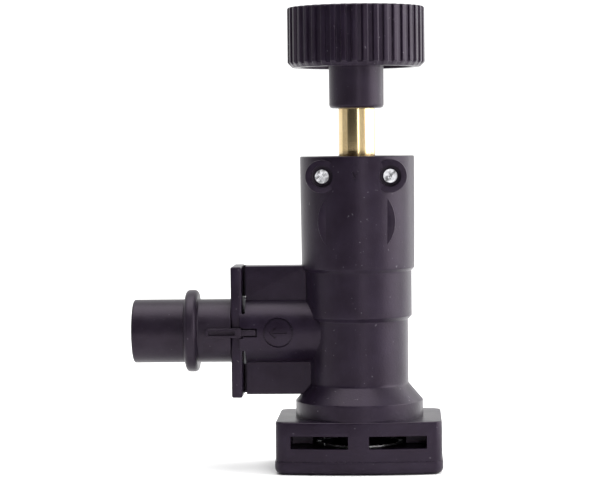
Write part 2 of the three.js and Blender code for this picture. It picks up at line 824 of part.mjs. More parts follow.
function sideSpigot() {
  const sealFloor = armBoreRadius - 2 * spigotSealRadius - sealFloorGap;
  const sealHalf = spigotSealRadius + sealRoom;
  const beadCentre = plateFar + beadDistance;
  const beadShoulder = 0.6;
  const outside = turned([
    [0, tailEnd],
    [tailRadius - 0.6, tailEnd],
    [tailRadius, tailEnd + 1.2],
    [tailRadius, spigotSealDistance - sealHalf],
    [sealFloor, spigotSealDistance - sealHalf],
    [sealFloor, spigotSealDistance + sealHalf],
    [tailRadius, spigotSealDistance + sealHalf],
    [tailRadius, forkDistance - slotWidth / 2],
    [forkGrooveRadius, forkDistance - slotWidth / 2],
    [forkGrooveRadius, forkDistance + slotWidth / 2],
    [tailRadius, forkDistance + slotWidth / 2],
    [tailRadius, spigotShoulder],
    [spigotRadius, spigotShoulder],
    [spigotRadius, beadCentre - beadHalfWidth],
    [beadRadius - beadShoulder, beadCentre - beadHalfWidth + 0.1],
    [beadRadius, beadCentre - beadHalfWidth + beadShoulder],
    [beadRadius, beadCentre + beadHalfWidth - beadShoulder],
    [beadRadius - beadShoulder, beadCentre + beadHalfWidth - 0.1],
    [spigotRadius, beadCentre + beadHalfWidth + 0.3],
    [spigotRadius, spigotEnd - 0.4],
    [spigotRadius - 0.4, spigotEnd],
    [0, spigotEnd],
  ]);
  const keyFloor = plateHalfDepth + slipGap;
  const keyTop = spigotRadius + keyHeight;
  const key = block([-keyHalfWidth, -keyTop, plateNear], [keyHalfWidth, -keyFloor, plateNear + keyLength]);
  const tongue = block(
    [-tongueHalfWidth, -keyTop + 0.4, plateNear - tongueLength],
    [tongueHalfWidth, -keyFloor, plateNear + 1],
  );
  const bore = turned([
    [0, tailEnd - through],
    [tailBore, tailEnd - through],
    [tailBore, cageNear - 0.1],
    [spigotBore, cageNear - 0.1],
    [spigotBore, spigotEnd + through],
    [0, spigotEnd + through],
  ]);
  return cut(join(outside, key, tongue), bore);
}

const spigotSealMiddle = armBoreRadius - sealGap - spigotSealRadius;
const spigotSeal = () => sealRing(spigotSealMiddle, spigotSealRadius, spigotSealDistance);

/** Sheet-steel fork pushed in from behind across the spigot's groove. */
function forkClip() {
  const prongInner = forkGrooveRadius + snugGap;
  const prongOuter = prongInner + forkProngWidth;
  const bridgeNear = bossRadius + seatGap;
  const bridgeFar = bridgeNear + forkBridgeWidth;
  const near = forkDistance - forkThickness / 2;
  const far = forkDistance + forkThickness / 2;
  const prongs = [-1, 1].map((side) => {
    const inner = side * prongInner;
    const outer = side * prongOuter;
    return block([Math.min(inner, outer), forkProngTip, near], [Math.max(inner, outer), bridgeFar, far]);
  });
  return join(...prongs, block([-prongOuter, bridgeNear, near], [prongOuter, bridgeFar, far]));
}

// ---------------------------------------------------------------- check valve
const cageRadius = spigotBore - slipGap;
const cageInner = cageRadius - cageWall;
const poppetRadius = cageInner - poppetGap;
const cageSeatRadius = poppetRadius - poppetSeatWidth;
const springRadius = (poppetStemRadius + poppetRadius) / 2 - springWireRadius / 2;
const poppetNear = cageNear + cageSeatThickness + poppetSealThickness + 2 * stackGap;
const poppetFar = poppetNear + poppetThickness;
const guideNear = cageFar - guideThickness;

/** Open-ended cup with the flow hole in its floor. */
const checkCage = () =>
  turned(
    [
      [cageSeatRadius, cageNear],
      [cageRadius, cageNear],
      [cageRadius, cageFar],
      [cageInner, cageFar],
      [cageInner, cageNear + cageSeatThickness],
      [cageSeatRadius, cageNear + cageSeatThickness],
    ],
    COARSE,
  );

/** Mushroom head and stem. */
const checkPoppet = () =>
  turned(
    [
      [0, poppetNear],
      [poppetRadius, poppetNear],
      [poppetRadius, poppetFar],
      [poppetStemRadius + 0.3, poppetFar],
      [poppetStemRadius, poppetFar + 0.5],
      [poppetStemRadius, cageFar + poppetStemOverhang],
      [0, cageFar + poppetStemOverhang],
    ],
    24,
  );

const poppetSeal = () =>
  tube(1.4, poppetRadius - 0.1, cageNear + cageSeatThickness + stackGap, poppetNear - stackGap, COARSE);

/** Spider: a hub for the stem, three arms and a rim. */
function checkGuide() {
  const rimOuter = cageInner - snugGap;
  const hubOuter = springRadius + 0.6;
  const top = cageFar - snugGap;
  const rim = tube(rimOuter - guideRimWidth, rimOuter, guideNear, top, COARSE);
  const hub = tube(poppetStemRadius + runningGap, hubOuter, guideNear, top, 24);
  const arm = () =>
    block([hubOuter - 0.6, -guideArmHalf, guideNear], [rimOuter - 0.3, guideArmHalf, top]);
  const arms = thirds.map((angle) => arm().rotateZ(angle));
  return join(rim, hub, ...arms);
}

/** Round wire wound about the stem between the head and the guide. */
function checkSpring() {
  const start = poppetFar + springWireRadius + 0.15;
  const end = guideNear - springWireRadius - 0.15;
  class Helix extends THREE.Curve {
    getPoint(t, target = new THREE.Vector3()) {
      const angle = 2 * Math.PI * springTurns * t;
      const height = start + (end - start) * t;
      return target.set(springRadius * Math.cos(angle), springRadius * Math.sin(angle), height);
    }
  }
  const section = new THREE.Shape().absarc(0, 0, springWireRadius, 0, 2 * Math.PI);
  return new THREE.ExtrudeGeometry(section, {
    steps: 10 * springTurns,
    curveSegments: 3,
    bevelEnabled: false,
    extrudePath: new Helix(),
  });
}

// ---------------------------------------------------------------- assembly
const valve = new THREE.Group();

const socketStack = new THREE.Group();
socketStack.add(
  part("base_ring", baseRing(), nylon),
  part("socket_backing_ring", backingRing(), nylon),
  part("socket_grab_ring", grabRing(), steel),
  part("socket_spacer_ring", spacerRing(), clearedNylon),
  part("socket_oring", socketSeal(), rubber),
  part("inlet_strainer", strainer(), acetal),
);

const gland = new THREE.Group();
gland.add(
  part("gland_bush", glandBush(), brass),
  part("gland_oring", glandSeal(), rubber),
  part("gland_staple", glandStaple(), steel),
  part("spindle_wiper", spindleWiper(), rubber),
);

const disc = new THREE.Group();
disc.add(
  part("disc_holder", discHolder(), brass),
  part("disc_washer", discWasher(), rubber),
  part("disc_washer_screw", discScrew(), brass),
);

const stem = new THREE.Group();
stem.add(
  part("spindle", spindle(), brass),
  part("spindle_oring_lower", spindleSeal(lowerSealHeight), rubber),
  part("spindle_oring_upper", spindleSeal(upperSealHeight), rubber),
  part("spindle_clip", spindleClip(), steel),
  part("handwheel", handwheel(), nylon),
  part("handwheel_washer", wheelWasher(), steel),
  part("handwheel_screw", wheelScrew(), steel),
);

const arm = new THREE.Group();
arm.rotation.y = -Math.PI / 2;
arm.position.z = armHeight;
arm.add(
  part("side_spigot", sideSpigot(), clearedNylon),
  part("spigot_oring", spigotSeal(), rubber),
  part("spigot_fork_clip", forkClip(), steel),
  part("check_cage", checkCage(), acetal),
  part("check_guide", checkGuide(), acetal),
  part("check_spring", checkSpring(), steel),
  part("check_poppet", checkPoppet(), acetal),
  part("check_poppet_seal", poppetSeal(), rubber),
);

valve.add(part("valve_body", valveBody(), nylon), socketStack, gland, disc, stem, arm);

export default valve;
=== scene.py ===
"""Looks of the boiler filling valve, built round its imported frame. Sizes in millimetres."""

import bmesh
import bpy
import numpy as np
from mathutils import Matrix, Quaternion, Vector


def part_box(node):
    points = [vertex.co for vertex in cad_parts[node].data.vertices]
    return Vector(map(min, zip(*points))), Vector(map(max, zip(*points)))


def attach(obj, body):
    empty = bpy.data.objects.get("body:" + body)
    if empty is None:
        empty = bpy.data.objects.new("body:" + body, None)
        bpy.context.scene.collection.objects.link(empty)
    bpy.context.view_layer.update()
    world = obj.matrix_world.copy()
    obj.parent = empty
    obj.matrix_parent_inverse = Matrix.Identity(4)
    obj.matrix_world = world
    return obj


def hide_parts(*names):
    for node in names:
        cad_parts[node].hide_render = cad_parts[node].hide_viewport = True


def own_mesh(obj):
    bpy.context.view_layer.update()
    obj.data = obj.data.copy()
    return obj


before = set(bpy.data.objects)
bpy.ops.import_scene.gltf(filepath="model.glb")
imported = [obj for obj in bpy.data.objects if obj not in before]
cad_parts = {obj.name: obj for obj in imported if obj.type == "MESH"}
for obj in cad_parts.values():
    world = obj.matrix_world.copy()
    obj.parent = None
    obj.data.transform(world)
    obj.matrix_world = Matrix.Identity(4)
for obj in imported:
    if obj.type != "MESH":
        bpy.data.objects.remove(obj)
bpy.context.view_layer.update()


# ---------------------------------------------------------------- valve body
# The body is one black moulding of glass-filled nylon: a rectangular collar
# for the pipe, a waisted barrel for the head, and a side boss between two
# ears and an end plate. Its edges are sharp to the touch but never knife-sharp.
MM = 0.001


def corners_mm(node):
    """The lowest and highest corner of a frame node, in millimetres."""
    low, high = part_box(node)
    return np.array(low) / MM, np.array(high) / MM


def soft_outline(corners, steps=5):
    """Closed outline in which each corner (a, b, radius) becomes an arc.

    The arc of that radius touches both sides: it starts radius / tan(half the
    corner's angle) before the corner, and its centre is on the angle's bisector.
    """
    table = np.array(corners, float)
    point, radius = table[:, :2], table[:, 2:]
    back = np.roll(point, 1, 0) - point
    ahead = np.roll(point, -1, 0) - point
    back /= np.linalg.norm(back, axis=1, keepdims=True)
    ahead /= np.linalg.norm(ahead, axis=1, keepdims=True)
    half = np.arccos(np.clip((back * ahead).sum(1, keepdims=True), -1, 1)) / 2
    bisector = (back + ahead) / (2 * np.cos(half))
    centre = point + bisector * radius / np.sin(half)
    first = point + back * radius / np.tan(half) - centre
    last = point + ahead * radius / np.tan(half) - centre
    start = np.arctan2(first[:, 1], first[:, 0])
    turn = np.arctan2(last[:, 1], last[:, 0]) - start
    turn = (turn + np.pi) % (2 * np.pi) - np.pi
    angle = start[:, None] + turn[:, None] * np.linspace(0, 1, steps + 1)
    arc = centre[:, None] + radius[:, None] * np.stack([np.cos(angle), np.sin(angle)], -1)
    return arc.reshape(-1, 2)


def soft_line(corners, steps=5):
    """As soft_outline, for an open line whose two ends stay as they are."""
    inner = soft_outline(corners, steps).reshape(len(corners), steps + 1, 2)[1:-1]
    ends = np.array([corners[0][:2], corners[-1][:2]], float)
    return np.vstack([ends[:1], inner.reshape(-1, 2), ends[1:]])


def divided(outline, longest):
    """The same open outline, every step longer than a given length divided evenly."""
    parts = []
    for start, end in zip(outline[:-1], outline[1:]):
        count = max(1, int(np.ceil(np.linalg.norm(end - start) / longest)))
        parts.append(start + (end - start) * np.arange(count)[:, None] / count)
    return np.vstack([*parts, outline[-1:]])


def net(points, close_rows, close_columns):
    """The vertices and quads of a rows x columns grid of points, wrapped if asked."""
    rows, columns = points.shape[:2]
    r = np.arange(rows if close_rows else rows - 1)[:, None]
    c = np.arange(columns if close_columns else columns - 1)[None, :]
    r1, c1 = (r + 1) % rows, (c + 1) % columns
    quads = np.stack([r * columns + c, r * columns + c1, r1 * columns + c1, r1 * columns + c], -1)
    return points.reshape(-1, 3), quads.reshape(-1, 4)


def solid(name, shells, sharp=38):
    """A mesh object of one or more closed nets, in millimetres, poles merged, facing out."""
    mesh = bpy.data.meshes.new(name)
    shift = np.cumsum([0] + [len(v) for v, _ in shells[:-1]])
    vertices = np.vstack([v for v, _ in shells]) * MM
    faces = np.vstack([f + s for (_, f), s in zip(shells, shift)])
    mesh.from_pydata(vertices.tolist(), [], faces.tolist())
    work = bmesh.new()
    work.from_mesh(mesh)
    bmesh.ops.remove_doubles(work, verts=work.verts, dist=1e-7)
    bmesh.ops.dissolve_degenerate(work, edges=work.edges, dist=1e-7)
    bmesh.ops.recalc_face_normals(work, faces=work.faces)
    work.to_mesh(mesh)
    work.free()
    mesh.shade_smooth()
    mesh.set_sharp_from_angle(angle=np.radians(sharp))
    piece = bpy.data.objects.new(name, mesh)
    bpy.context.scene.collection.objects.link(piece)
    return piece


def turned(outline, columns=192, closed=True, axis="z", centre=(0, 0, 0)):
    """A (radius, height) outline carried round an axis: x = r cos a, y = r sin a, z = h.

    axis "-x" or "-y" lays the height along that direction from the centre.
    """
    angle = np.arange(columns) * 2 * np.pi / columns
    radius, height = outline[:, 0, None], outline[:, 1, None]
    across, up = radius * np.cos(angle), radius * np.sin(angle)
    along = height + 0 * angle
    stacked = {
        "z": (across, up, along),
        "-x": (-along, across, up),
        "-y": (across, -along, up),
        "y": (across, along, up),
        "x": (along, across, up),
    }[axis]
    return net(np.stack(stacked, -1) + np.array(centre, float), closed, True)


def lathe(name, rows, columns=192, axis="z", centre=(0, 0, 0), steps=5):
    """A solid of revolution from (radius, height, corner) rows that start and end on its axis."""
    return solid(name, [turned(soft_line(rows, steps), columns, False, axis, centre)])


def round_bar(name, radius, start, end, edge, columns=192, axis="z", centre=(0, 0, 0), steps=5):
    """A cylinder between two places on its axis, with rounded edges."""
    rows = [(0, start, 0), (radius, start, edge), (radius, end, edge), (0, end, 0)]
    return lathe(name, rows, columns, axis, centre, steps)


def outward(plan):
    """Unit normals of a closed anticlockwise plan, from each point's two neighbours."""
    along = np.roll(plan, -1, 0) - np.roll(plan, 1, 0)
    return np.stack([along[:, 1], -along[:, 0]], 1) / np.linalg.norm(along, axis=1, keepdims=True)


def slab(plan, low, high, low_edge, high_edge=None, hole=None, steps=5):
    """A plan of (x, y) points made solid between two heights, its edges rounded.

    A rounded edge's rows are the plan moved in along its normals by e (1 - sin t) at
    a height e (1 - cos t) from the face. The faces close on the middle, or on a hole
    given as (radius, height) points from the bottom up.
    """
    high_edge = low_edge if high_edge is None else high_edge
    t = np.linspace(0, np.pi / 2, steps + 1)
    inset = np.concatenate([low_edge * (1 - np.sin(t)), high_edge * (1 - np.sin(t[::-1]))])
    height = np.concatenate([low + low_edge * (1 - np.cos(t)), high - high_edge * (1 - np.cos(t[::-1]))])
    rows = [
        np.column_stack([plan - outward(plan) * i, np.full(len(plan), h)]) for i, h in zip(inset, height)
    ]
    if hole is None:
        middle = np.broadcast_to(plan.mean(0), plan.shape)
        rows.insert(0, np.column_stack([middle, np.full(len(plan), low)]))
        rows.append(np.column_stack([middle, np.full(len(plan), high)]))
    else:
        direction = plan / np.linalg.norm(plan, axis=1, keepdims=True)
        rows += [np.column_stack([r * direction, np.full(len(plan), h)]) for r, h in reversed(hole)]
    return net(np.array(rows), hole is not None, True)


def soft_box(low, high, edge):
    """A box with every edge rounded, as a slab of a rounded rectangle."""
    (x0, y0, z0), (x1, y1, z1) = low, high
    plan = soft_outline([(x1, y0, edge), (x1, y1, edge), (x0, y1, edge), (x0, y0, edge)], 4)
    return slab(plan, z0, z1, edge * 0.999)


def bowed_plan(half_width, half_depth, bow, corner, steps=10):
    """A rectangle whose front and back are arcs: the collar's plan.

    The bow's radius is (w^2 + b^2) / 2b, and a corner's centre lies one corner
    radius inside both the side and the bow.
    """
    bow_radius = (half_width**2 + bow**2) / (2 * bow)
    bow_centre = bow_radius - half_depth
    corner_x = half_width - corner
    corner_y = np.sqrt((bow_radius - corner) ** 2 - corner_x**2) - bow_centre
    meeting = np.arctan2(corner_y + bow_centre, corner_x)
    arcs = [
        (corner_x, corner_y, corner, 0, meeting, steps),
        (0, -bow_centre, bow_radius, meeting, np.pi - meeting, 5 * steps),
        (-corner_x, corner_y, corner, np.pi - meeting, np.pi, steps),
        (-corner_x, -corner_y, corner, np.pi, np.pi + meeting, steps),
        (0, bow_centre, bow_radius, np.pi + meeting, 2 * np.pi - meeting, 5 * steps),
        (corner_x, -corner_y, corner, -meeting, 0, steps),
    ]
    stretches = []
    for x, y, radius, start, end, count in arcs:
        angle = np.linspace(start, end, count, endpoint=False)
        stretches.append(np.stack([x + radius * np.cos(angle), y + radius * np.sin(angle)], 1))
    return np.vstack(stretches)


def combine(piece, tools, operation):
    """Joins the tools to the piece or cuts them from it, and removes them."""
    for tool in tools:
        modifier = piece.modifiers.new("cut", "BOOLEAN")
        modifier.operation = operation
        modifier.solver = "EXACT"
        modifier.object = tool
        depsgraph = bpy.context.evaluated_depsgraph_get()
        made = bpy.data.meshes.new_from_object(piece.evaluated_get(depsgraph))
        piece.modifiers.clear()
        piece.data = made
        bpy.data.objects.remove(tool)
    piece.data.shade_smooth()
    piece.data.set_sharp_from_angle(angle=np.radians(32))
    return piece


body_low, body_high = corners_mm("valve_body")
base_high = corners_mm("base_ring")[1]
collar_bottom = body_low[2]
collar_top = collar_bottom + 8.55
collar_half_width = base_high[0] - 0.2
neck_radius = 14.1
neck_top = collar_top + 3.5
cone_top = neck_top + 3.7
waist_radius = 10.95
waist_top = cone_top + 14.1
middle_radius = 11.8
middle_bottom = waist_top + 0.9
middle_top = middle_bottom + 9.9
upper_bottom = middle_top + 0.7
upper_foot_radius = 12.45
upper_radius = 12.6
body_top = body_high[2]
seat_top = cone_top + 3.3
arm_height = seat_top + 8.5
gland_shelf = upper_bottom + 3.7
gland_bore = 8.5
chamber_radius = 7.6
pipe_radius = 9.0
staple_x = 7.4
staple_z = body_top - 4.3
boss_radius = 7.4
plate_far = -body_low[0]
plate_near = plate_far - 2.4
web_end = plate_near - 0.7
arm_centre = (0, 0, arm_height)
web_half = 2.65
ear_drop, ear_rise = 14.0, 14.4
plate_half_depth = 6.2
staple_boss_radius = 3.6
throat_radius = 4.3
seat_lip_radius = 5.6
arm_bore_radius = 5.6
arm_bore_end = 14.2
CUT_EDGE = 0.02

collar = solid(
    "collar",
    [slab(bowed_plan(collar_half_width, neck_radius + 0.1, 1.8, 2.2), collar_bottom, collar_top, 0.1, 0.4)],
)
barrel_outline = soft_line(
    [
        (0, collar_top - 0.8, 0),
        (neck_radius, collar_top - 0.8, 0.05),
        (neck_radius, neck_top, 0.3),
        (waist_radius, cone_top, 0.8),
        (waist_radius, waist_top, 0.25),
        (middle_radius, middle_bottom, 0.25),
        (middle_radius, middle_top, 0.15),
        (upper_foot_radius, upper_bottom, 0.25),
        (upper_radius, body_top, 0.3),
        (0, body_top, 0),
    ]
)
barrel = solid("barrel", [turned(divided(barrel_outline, 1.0), closed=False)])
boss = round_bar("boss", boss_radius, 3, plate_near + 0.5, 0.1, axis="-x", centre=arm_centre)
web_corners = (-plate_near - 0.2, -web_half, arm_height - ear_drop), (-8, web_half, arm_height + ear_rise)
web = solid("web", [soft_box(*web_corners, 0.3)])
end_plate = solid(
    "end_plate",
    [
        soft_box(
            (-plate_far, -plate_half_depth, arm_height - ear_rise),
            (-plate_near, plate_half_depth, arm_height + ear_rise),
            0.45,
        )
    ],
)
boss_face = upper_radius - 1.2
staple_bosses = [
    round_bar(
        f"staple_boss_{side:+d}",
        staple_boss_radius,
        -boss_face,
        boss_face,
        0.18,
        columns=96,
        axis="-y",
        centre=(side * staple_x, 0, staple_z),
    )
    for side in (-1, 1)
]
ring_mark_z = body_top - 14.1
ring_mark_inner, ring_mark_outer = 6.6, 8.4
ring_mark_root, ring_mark_face = 2, upper_radius - 2.0
ring_mark_section = soft_outline(
    [
        (ring_mark_inner, ring_mark_root, 0.1),
        (ring_mark_outer, ring_mark_root, 0.1),
        (ring_mark_outer, ring_mark_face, 0.15),
        (ring_mark_inner, ring_mark_face, 0.15),
    ]
)
ring_mark = solid(
    "ring_mark",
    [turned(ring_mark_section, columns=160, axis="-y", centre=(0, 0, ring_mark_z))],
)
gate_nub = lathe(
    "gate_nub",
    [(0, -1, 0), (1.1, -1, 0.1), (1.0, 0.17, 0.12), (0, 0.17, 0)],
    columns=40,
    axis="x",
    centre=(collar_half_width, 0.4, (collar_bottom + collar_top) / 2 + 0.6),
)
valve_body = combine(collar, [barrel, boss, web, end_plate, *staple_bosses, ring_mark, gate_nub], "UNION")
valve_body.name = "valve_body_moulding"

ring_space = (pipe_radius + 2.0, collar_top - 2.8)
seal_space = (pipe_radius + 1.2, collar_top + 1.9)
pipe_stop = (pipe_radius, collar_top + 3.1)
inlet = (pipe_radius - 2, neck_top + 1.2)
inside = lathe(
    "inside",
    [
        (0, collar_bottom - 2, 0),
        (ring_space[0], collar_bottom - 2, CUT_EDGE),
        (*ring_space, CUT_EDGE),
        (seal_space[0], ring_space[1], CUT_EDGE),
        (*seal_space, CUT_EDGE),
        (pipe_stop[0], seal_space[1], CUT_EDGE),
        (*pipe_stop, CUT_EDGE),
        (inlet[0], pipe_stop[1], CUT_EDGE),
        (*inlet, CUT_EDGE),
        (throat_radius, inlet[1], CUT_EDGE),
        (throat_radius, seat_top, CUT_EDGE),
        (seat_lip_radius, seat_top, CUT_EDGE),
        (seat_lip_radius, seat_top - 1.5, CUT_EDGE),
        (chamber_radius, seat_top - 1.5, CUT_EDGE),
        (chamber_radius, gland_shelf, CUT_EDGE),
        (gland_bore, gland_shelf, CUT_EDGE),
        (gland_bore, body_top - 0.4, CUT_EDGE),
        (gland_bore + 2.4, body_top + 2, CUT_EDGE),
        (0, body_top + 2, 0),
    ],
    steps=2,
)
window_sill = collar_bottom + 2.75
window_rise = 2.8
window_near, window_far = 2.25, 14.75
window_front, window_back = -17, -4
windows = [
    solid(
        f"window_{side:+d}",
        [
            soft_box(
                (min(side * window_near, side * window_far), window_front, window_sill),
                (max(side * window_near, side * window_far), window_back, window_sill + window_rise),
                0.12,
            )
        ],
    )
    for side in (-1, 1)
]
arm_bore = round_bar(
    "arm_bore",
    arm_bore_radius,
    arm_bore_end,
    plate_far + 2,
    CUT_EDGE,
    axis="-x",
    centre=arm_centre,
    steps=2,
)
arm_port = round_bar("arm_port", 3.5, 0, 15, CUT_EDGE, 64, "-x", arm_centre, 2)
slot_bridge = 4.05
past_ears, ear_wall = 17, 1.4
prong_reach, past_plate = 7.5, 9
slots = [
    solid(
        f"slot_{side:+d}_{reach}",
        [
            soft_box(
                (-plate_near, -past_plate, arm_height + min(side * slot_bridge, side * reach)),
                (-web_end, back, arm_height + max(side * slot_bridge, side * reach)),
                CUT_EDGE,
            )
        ],
    )
    for side in (-1, 1)
    for reach, back in ((past_ears, ear_wall), (prong_reach, past_plate))
]
notch_gap = 0.25
key_half, tongue_half, tongue_reach = 1.03, 0.7, 3.1
key_notches = [
    solid(
        f"key_notch_{reach}",
        [
            soft_box(
                (-plate_far + 0.8, -10, arm_height - half_width - notch_gap),
                (-plate_near + reach + 0.3, -plate_half_depth, arm_height + half_width + notch_gap),
                0.08,
            )
        ],
    )
    for half_width, reach in ((key_half, 0.0), (tongue_half, tongue_reach))
]
pin_hole_radius, well_radius, well_depth = 1.7, 2.35, 1.6
pin_holes = [
    round_bar(
        f"pin_hole_{side:+d}_{radius}",
        radius,
        start,
        15,
        CUT_EDGE,
        columns=72,
        axis="-y",
        centre=(side * staple_x, 0, staple_z),
        steps=2,
    )
    for side in (-1, 1)
    for radius, start in ((pin_hole_radius, -15), (well_radius, boss_face - well_depth))
]
combine(
    valve_body,
    [inside, *windows, arm_bore, arm_port, *slots, *key_notches, *pin_holes],
    "DIFFERENCE",
)


def ribbon(path, outward, width, depth):
    """A square-cut groove tool: a rectangle carried along a path on a surface.

    At each point the rectangle spans width across the path and depth to both
    sides of the surface, along the outward direction there.
    """
    along = np.gradient(path, axis=0)
    across = np.cross(along, outward)
    across /= np.linalg.norm(across, axis=1, keepdims=True)
    corner = np.array([(-1, -1), (1, -1), (1, 1), (-1, 1)]) / 2
    sideways = corner[:, 0, None] * width * across[:, None]
    return path[:, None] + sideways + corner[:, 1, None] * 2 * depth * outward[:, None]


def on_boss(x, dz):
    """Points of the side boss's front, by distance along the arm and height above its axis."""
    y = -np.sqrt(boss_radius**2 - dz**2)
    point = np.stack([-x, y, arm_height + dz], 1)
    return point, np.stack([0 * y, y, dz], 1) / boss_radius


def on_barrel(x, z):
    """Points of the upper barrel's front."""
    radius = upper_radius - 0.02
    y = -np.sqrt(radius**2 - x**2)
    return np.stack([x, y, z], 1), np.stack([x, y, 0 * x], 1) / radius


def stroke(name, place, start, end, width, depth, count=9):
    """A straight groove tool between two places on a surface, closed at its ends."""
    t = np.linspace(0, 1, count)
    path, outward = place(start[0] + (end[0] - start[0]) * t, start[1] + (end[1] - start[1]) * t)
    rows = ribbon(path, outward, width, depth)
    ends = [np.broadcast_to(rows[i].mean(0), (1, 4, 3)) for i in (0, -1)]
    return solid(name, [net(np.concatenate([ends[0], rows, ends[1]]), False, True)])


mark_x = 17.5
mark_radius = 3.1
arrow_width, arrow_depth = 0.4, 0.28
turn = np.linspace(0, 2 * np.pi, 97)[:-1]
ring_path, ring_out = on_boss(mark_x + mark_radius * np.cos(turn), mark_radius * np.sin(turn))
ring_path = np.vstack([ring_path, ring_path[:1]])
ring_out = np.vstack([ring_out, ring_out[:1]])
ring_groove = solid("ring_groove", [net(ribbon(ring_path, ring_out, 0.42, 0.3)[:-1], True, True)])
arrow_grooves = [
    stroke("arrow_shaft", on_boss, (mark_x - 1.9, 0), (mark_x + 1.7, 0), arrow_width, arrow_depth),
    stroke("arrow_upper", on_boss, (mark_x + 1.8, 0), (mark_x + 0.5, 1.1), arrow_width, arrow_depth),
    stroke("arrow_lower", on_boss, (mark_x + 1.8, 0), (mark_x + 0.5, -1.1), arrow_width, arrow_depth),
]
vee_grooves = [
    stroke(f"vee_{side:+d}", on_barrel, (side * 0.75, staple_z + 0.9), (0, staple_z - 0.5), 0.45, 0.26, 5)
    for side in (-1, 1)
]
combine(valve_body, [ring_groove, *arrow_grooves, *vee_grooves], "DIFFERENCE")


def material(name):
    """A new node material, its tree and its surface shader."""
    made = bpy.data.materials.new(name)
    made.use_nodes = True
    return made, made.node_tree, made.node_tree.nodes["Principled BSDF"]


def add_node(tree, kind, inputs=None, **settings):
    """A node with its settings and socket values."""
    node = tree.nodes.new(kind)
    for key, value in settings.items():
        setattr(node, key, value)
    for key, value in (inputs or {}).items():
        node.inputs[key].default_value = value
    return node


def noise(tree, coords, scale, detail=3.0, roughness=0.55, stretch=(1, 1, 1)):
    """Noise over object coordinates, scale in cycles per metre along each stretched axis."""
    mapping = add_node(tree, "ShaderNodeMapping", {"Scale": stretch})
    tree.links.new(coords, mapping.inputs["Vector"])
    node = add_node(tree, "ShaderNodeTexNoise", {"Scale": scale, "Detail": detail, "Roughness": roughness})
    tree.links.new(mapping.outputs["Vector"], node.inputs["Vector"])
    return node.outputs["Fac"]


def ramp(tree, factor, stops):
    """A colour ramp with (position, colour) stops."""
    node = tree.nodes.new("ShaderNodeValToRGB")
    tree.links.new(factor, node.inputs["Fac"])
    elements = node.color_ramp.elements
    for element, (position, colour) in zip(elements, stops[:2]):
        element.position, element.color = position, colour
    for position, colour in stops[2:]:
        elements.new(position).color = colour
    return node.outputs["Color"]


def spread(tree, factor, low, high):
    """A factor of 0 to 1 mapped to a range."""
    node = add_node(tree, "ShaderNodeMapRange", {"To Min": low, "To Max": high})
    tree.links.new(factor, node.inputs["Value"])
    return node.outputs["Result"]


def bump(tree, shader, height, distance, strength=1.0, below=None):
    """A bump of the given real depth, on top of another one if asked."""
    node = add_node(tree, "ShaderNodeBump", {"Distance": distance, "Strength": strength})
    tree.links.new(height, node.inputs["Height"])
    if below is not None:
        tree.links.new(below, node.inputs["Normal"])
    tree.links.new(node.outputs["Normal"], shader.inputs["Normal"])
    return node.outputs["Normal"]


def object_coords(tree):
    return add_node(tree, "ShaderNodeTexCoord").outputs["Object"]


def moulded_nylon(name, dark, light, rough_low, rough_high, grain):
    """Glass-filled nylon: its fibres make a fine grain, and dust lies on it in patches and specks."""
    made, tree, shader = material(name)
    coords = object_coords(tree)
    patches = noise(tree, coords, 180, 4)
    fibres = noise(tree, coords, 2600, 2, 0.7)
    specks = noise(tree, coords, 1500, 1)
    colour = ramp(tree, patches, [(0.35, (*dark, 1)), (0.7, (*light, 1))])
    mask = ramp(tree, specks, [(0.745, (0, 0, 0, 1)), (0.80, (0.5, 0.5, 0.5, 1))])
    dusty = add_node(tree, "ShaderNodeMix", data_type="RGBA")
    tree.links.new(mask, dusty.inputs["Factor"])
    tree.links.new(colour, dusty.inputs["A"])
    dusty.inputs["B"].default_value = (0.14, 0.13, 0.15, 1)
    tree.links.new(dusty.outputs["Result"], shader.inputs["Base Color"])
    tree.links.new(spread(tree, patches, rough_low, rough_high), shader.inputs["Roughness"])
    shader.inputs["Specular IOR Level"].default_value = 0.20
    shader.inputs["Specular Tint"].default_value = (0.98, 0.82, 1.0, 1)
    coarse = bump(tree, shader, patches, 0.00006)
    bump(tree, shader, fibres, grain, 1.0, coarse)
    return made


black_nylon = moulded_nylon(
    "black_nylon", (0.0075, 0.0045, 0.0100), (0.0130, 0.0090, 0.0175), 0.27, 0.38, 0.000026
)
valve_body.data.materials.clear()
valve_body.data.materials.append(black_nylon)
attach(valve_body, "body")
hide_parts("valve_body")

# ---------------------------------------------------------------- base ring
# A flat ring of the same nylon, welded under the collar to close the socket. Its
# lower edge is well rounded, and the weld left an uneven bright flash all round.
base_plan = bowed_plan(collar_half_width + 0.2, neck_radius + 0.3, 1.8, 2.4)
ring_bore = pipe_radius + 0.2
ring_top = base_high[2]


def bead(plan, height, reach, tall, count=1400):
    """A closed bead round a plan, its reach uneven: reach |sum of three sines| / 3 + a quarter of it."""
    ends = np.vstack([plan, plan[:1]])
    distance = np.concatenate([[0], np.cumsum(np.linalg.norm(np.diff(ends, axis=0), axis=1))])
    at = np.linspace(0, distance[-1], count, endpoint=False)
    path = np.stack([np.interp(at, distance, ends[:, 0]), np.interp(at, distance, ends[:, 1])], 1)
    turns = at / distance[-1] * 2 * np.pi
    uneven = np.sin(23 * turns) + np.sin(57 * turns + 1.3) + np.sin(131 * turns + 0.4)
    size = reach * (0.25 + 0.75 * np.abs(uneven) / 3)
    section = np.arange(10) * 2 * np.pi / 10
    lift = 0.25 * tall * np.sin(89 * turns + 0.7)
    flat = path[:, None] + outward(path)[:, None] * (size[:, None] * np.cos(section))[..., None]
    high = height + lift[:, None] + tall * np.sin(section)[None]
    return net(np.concatenate([flat, high[..., None]], -1), True, True)


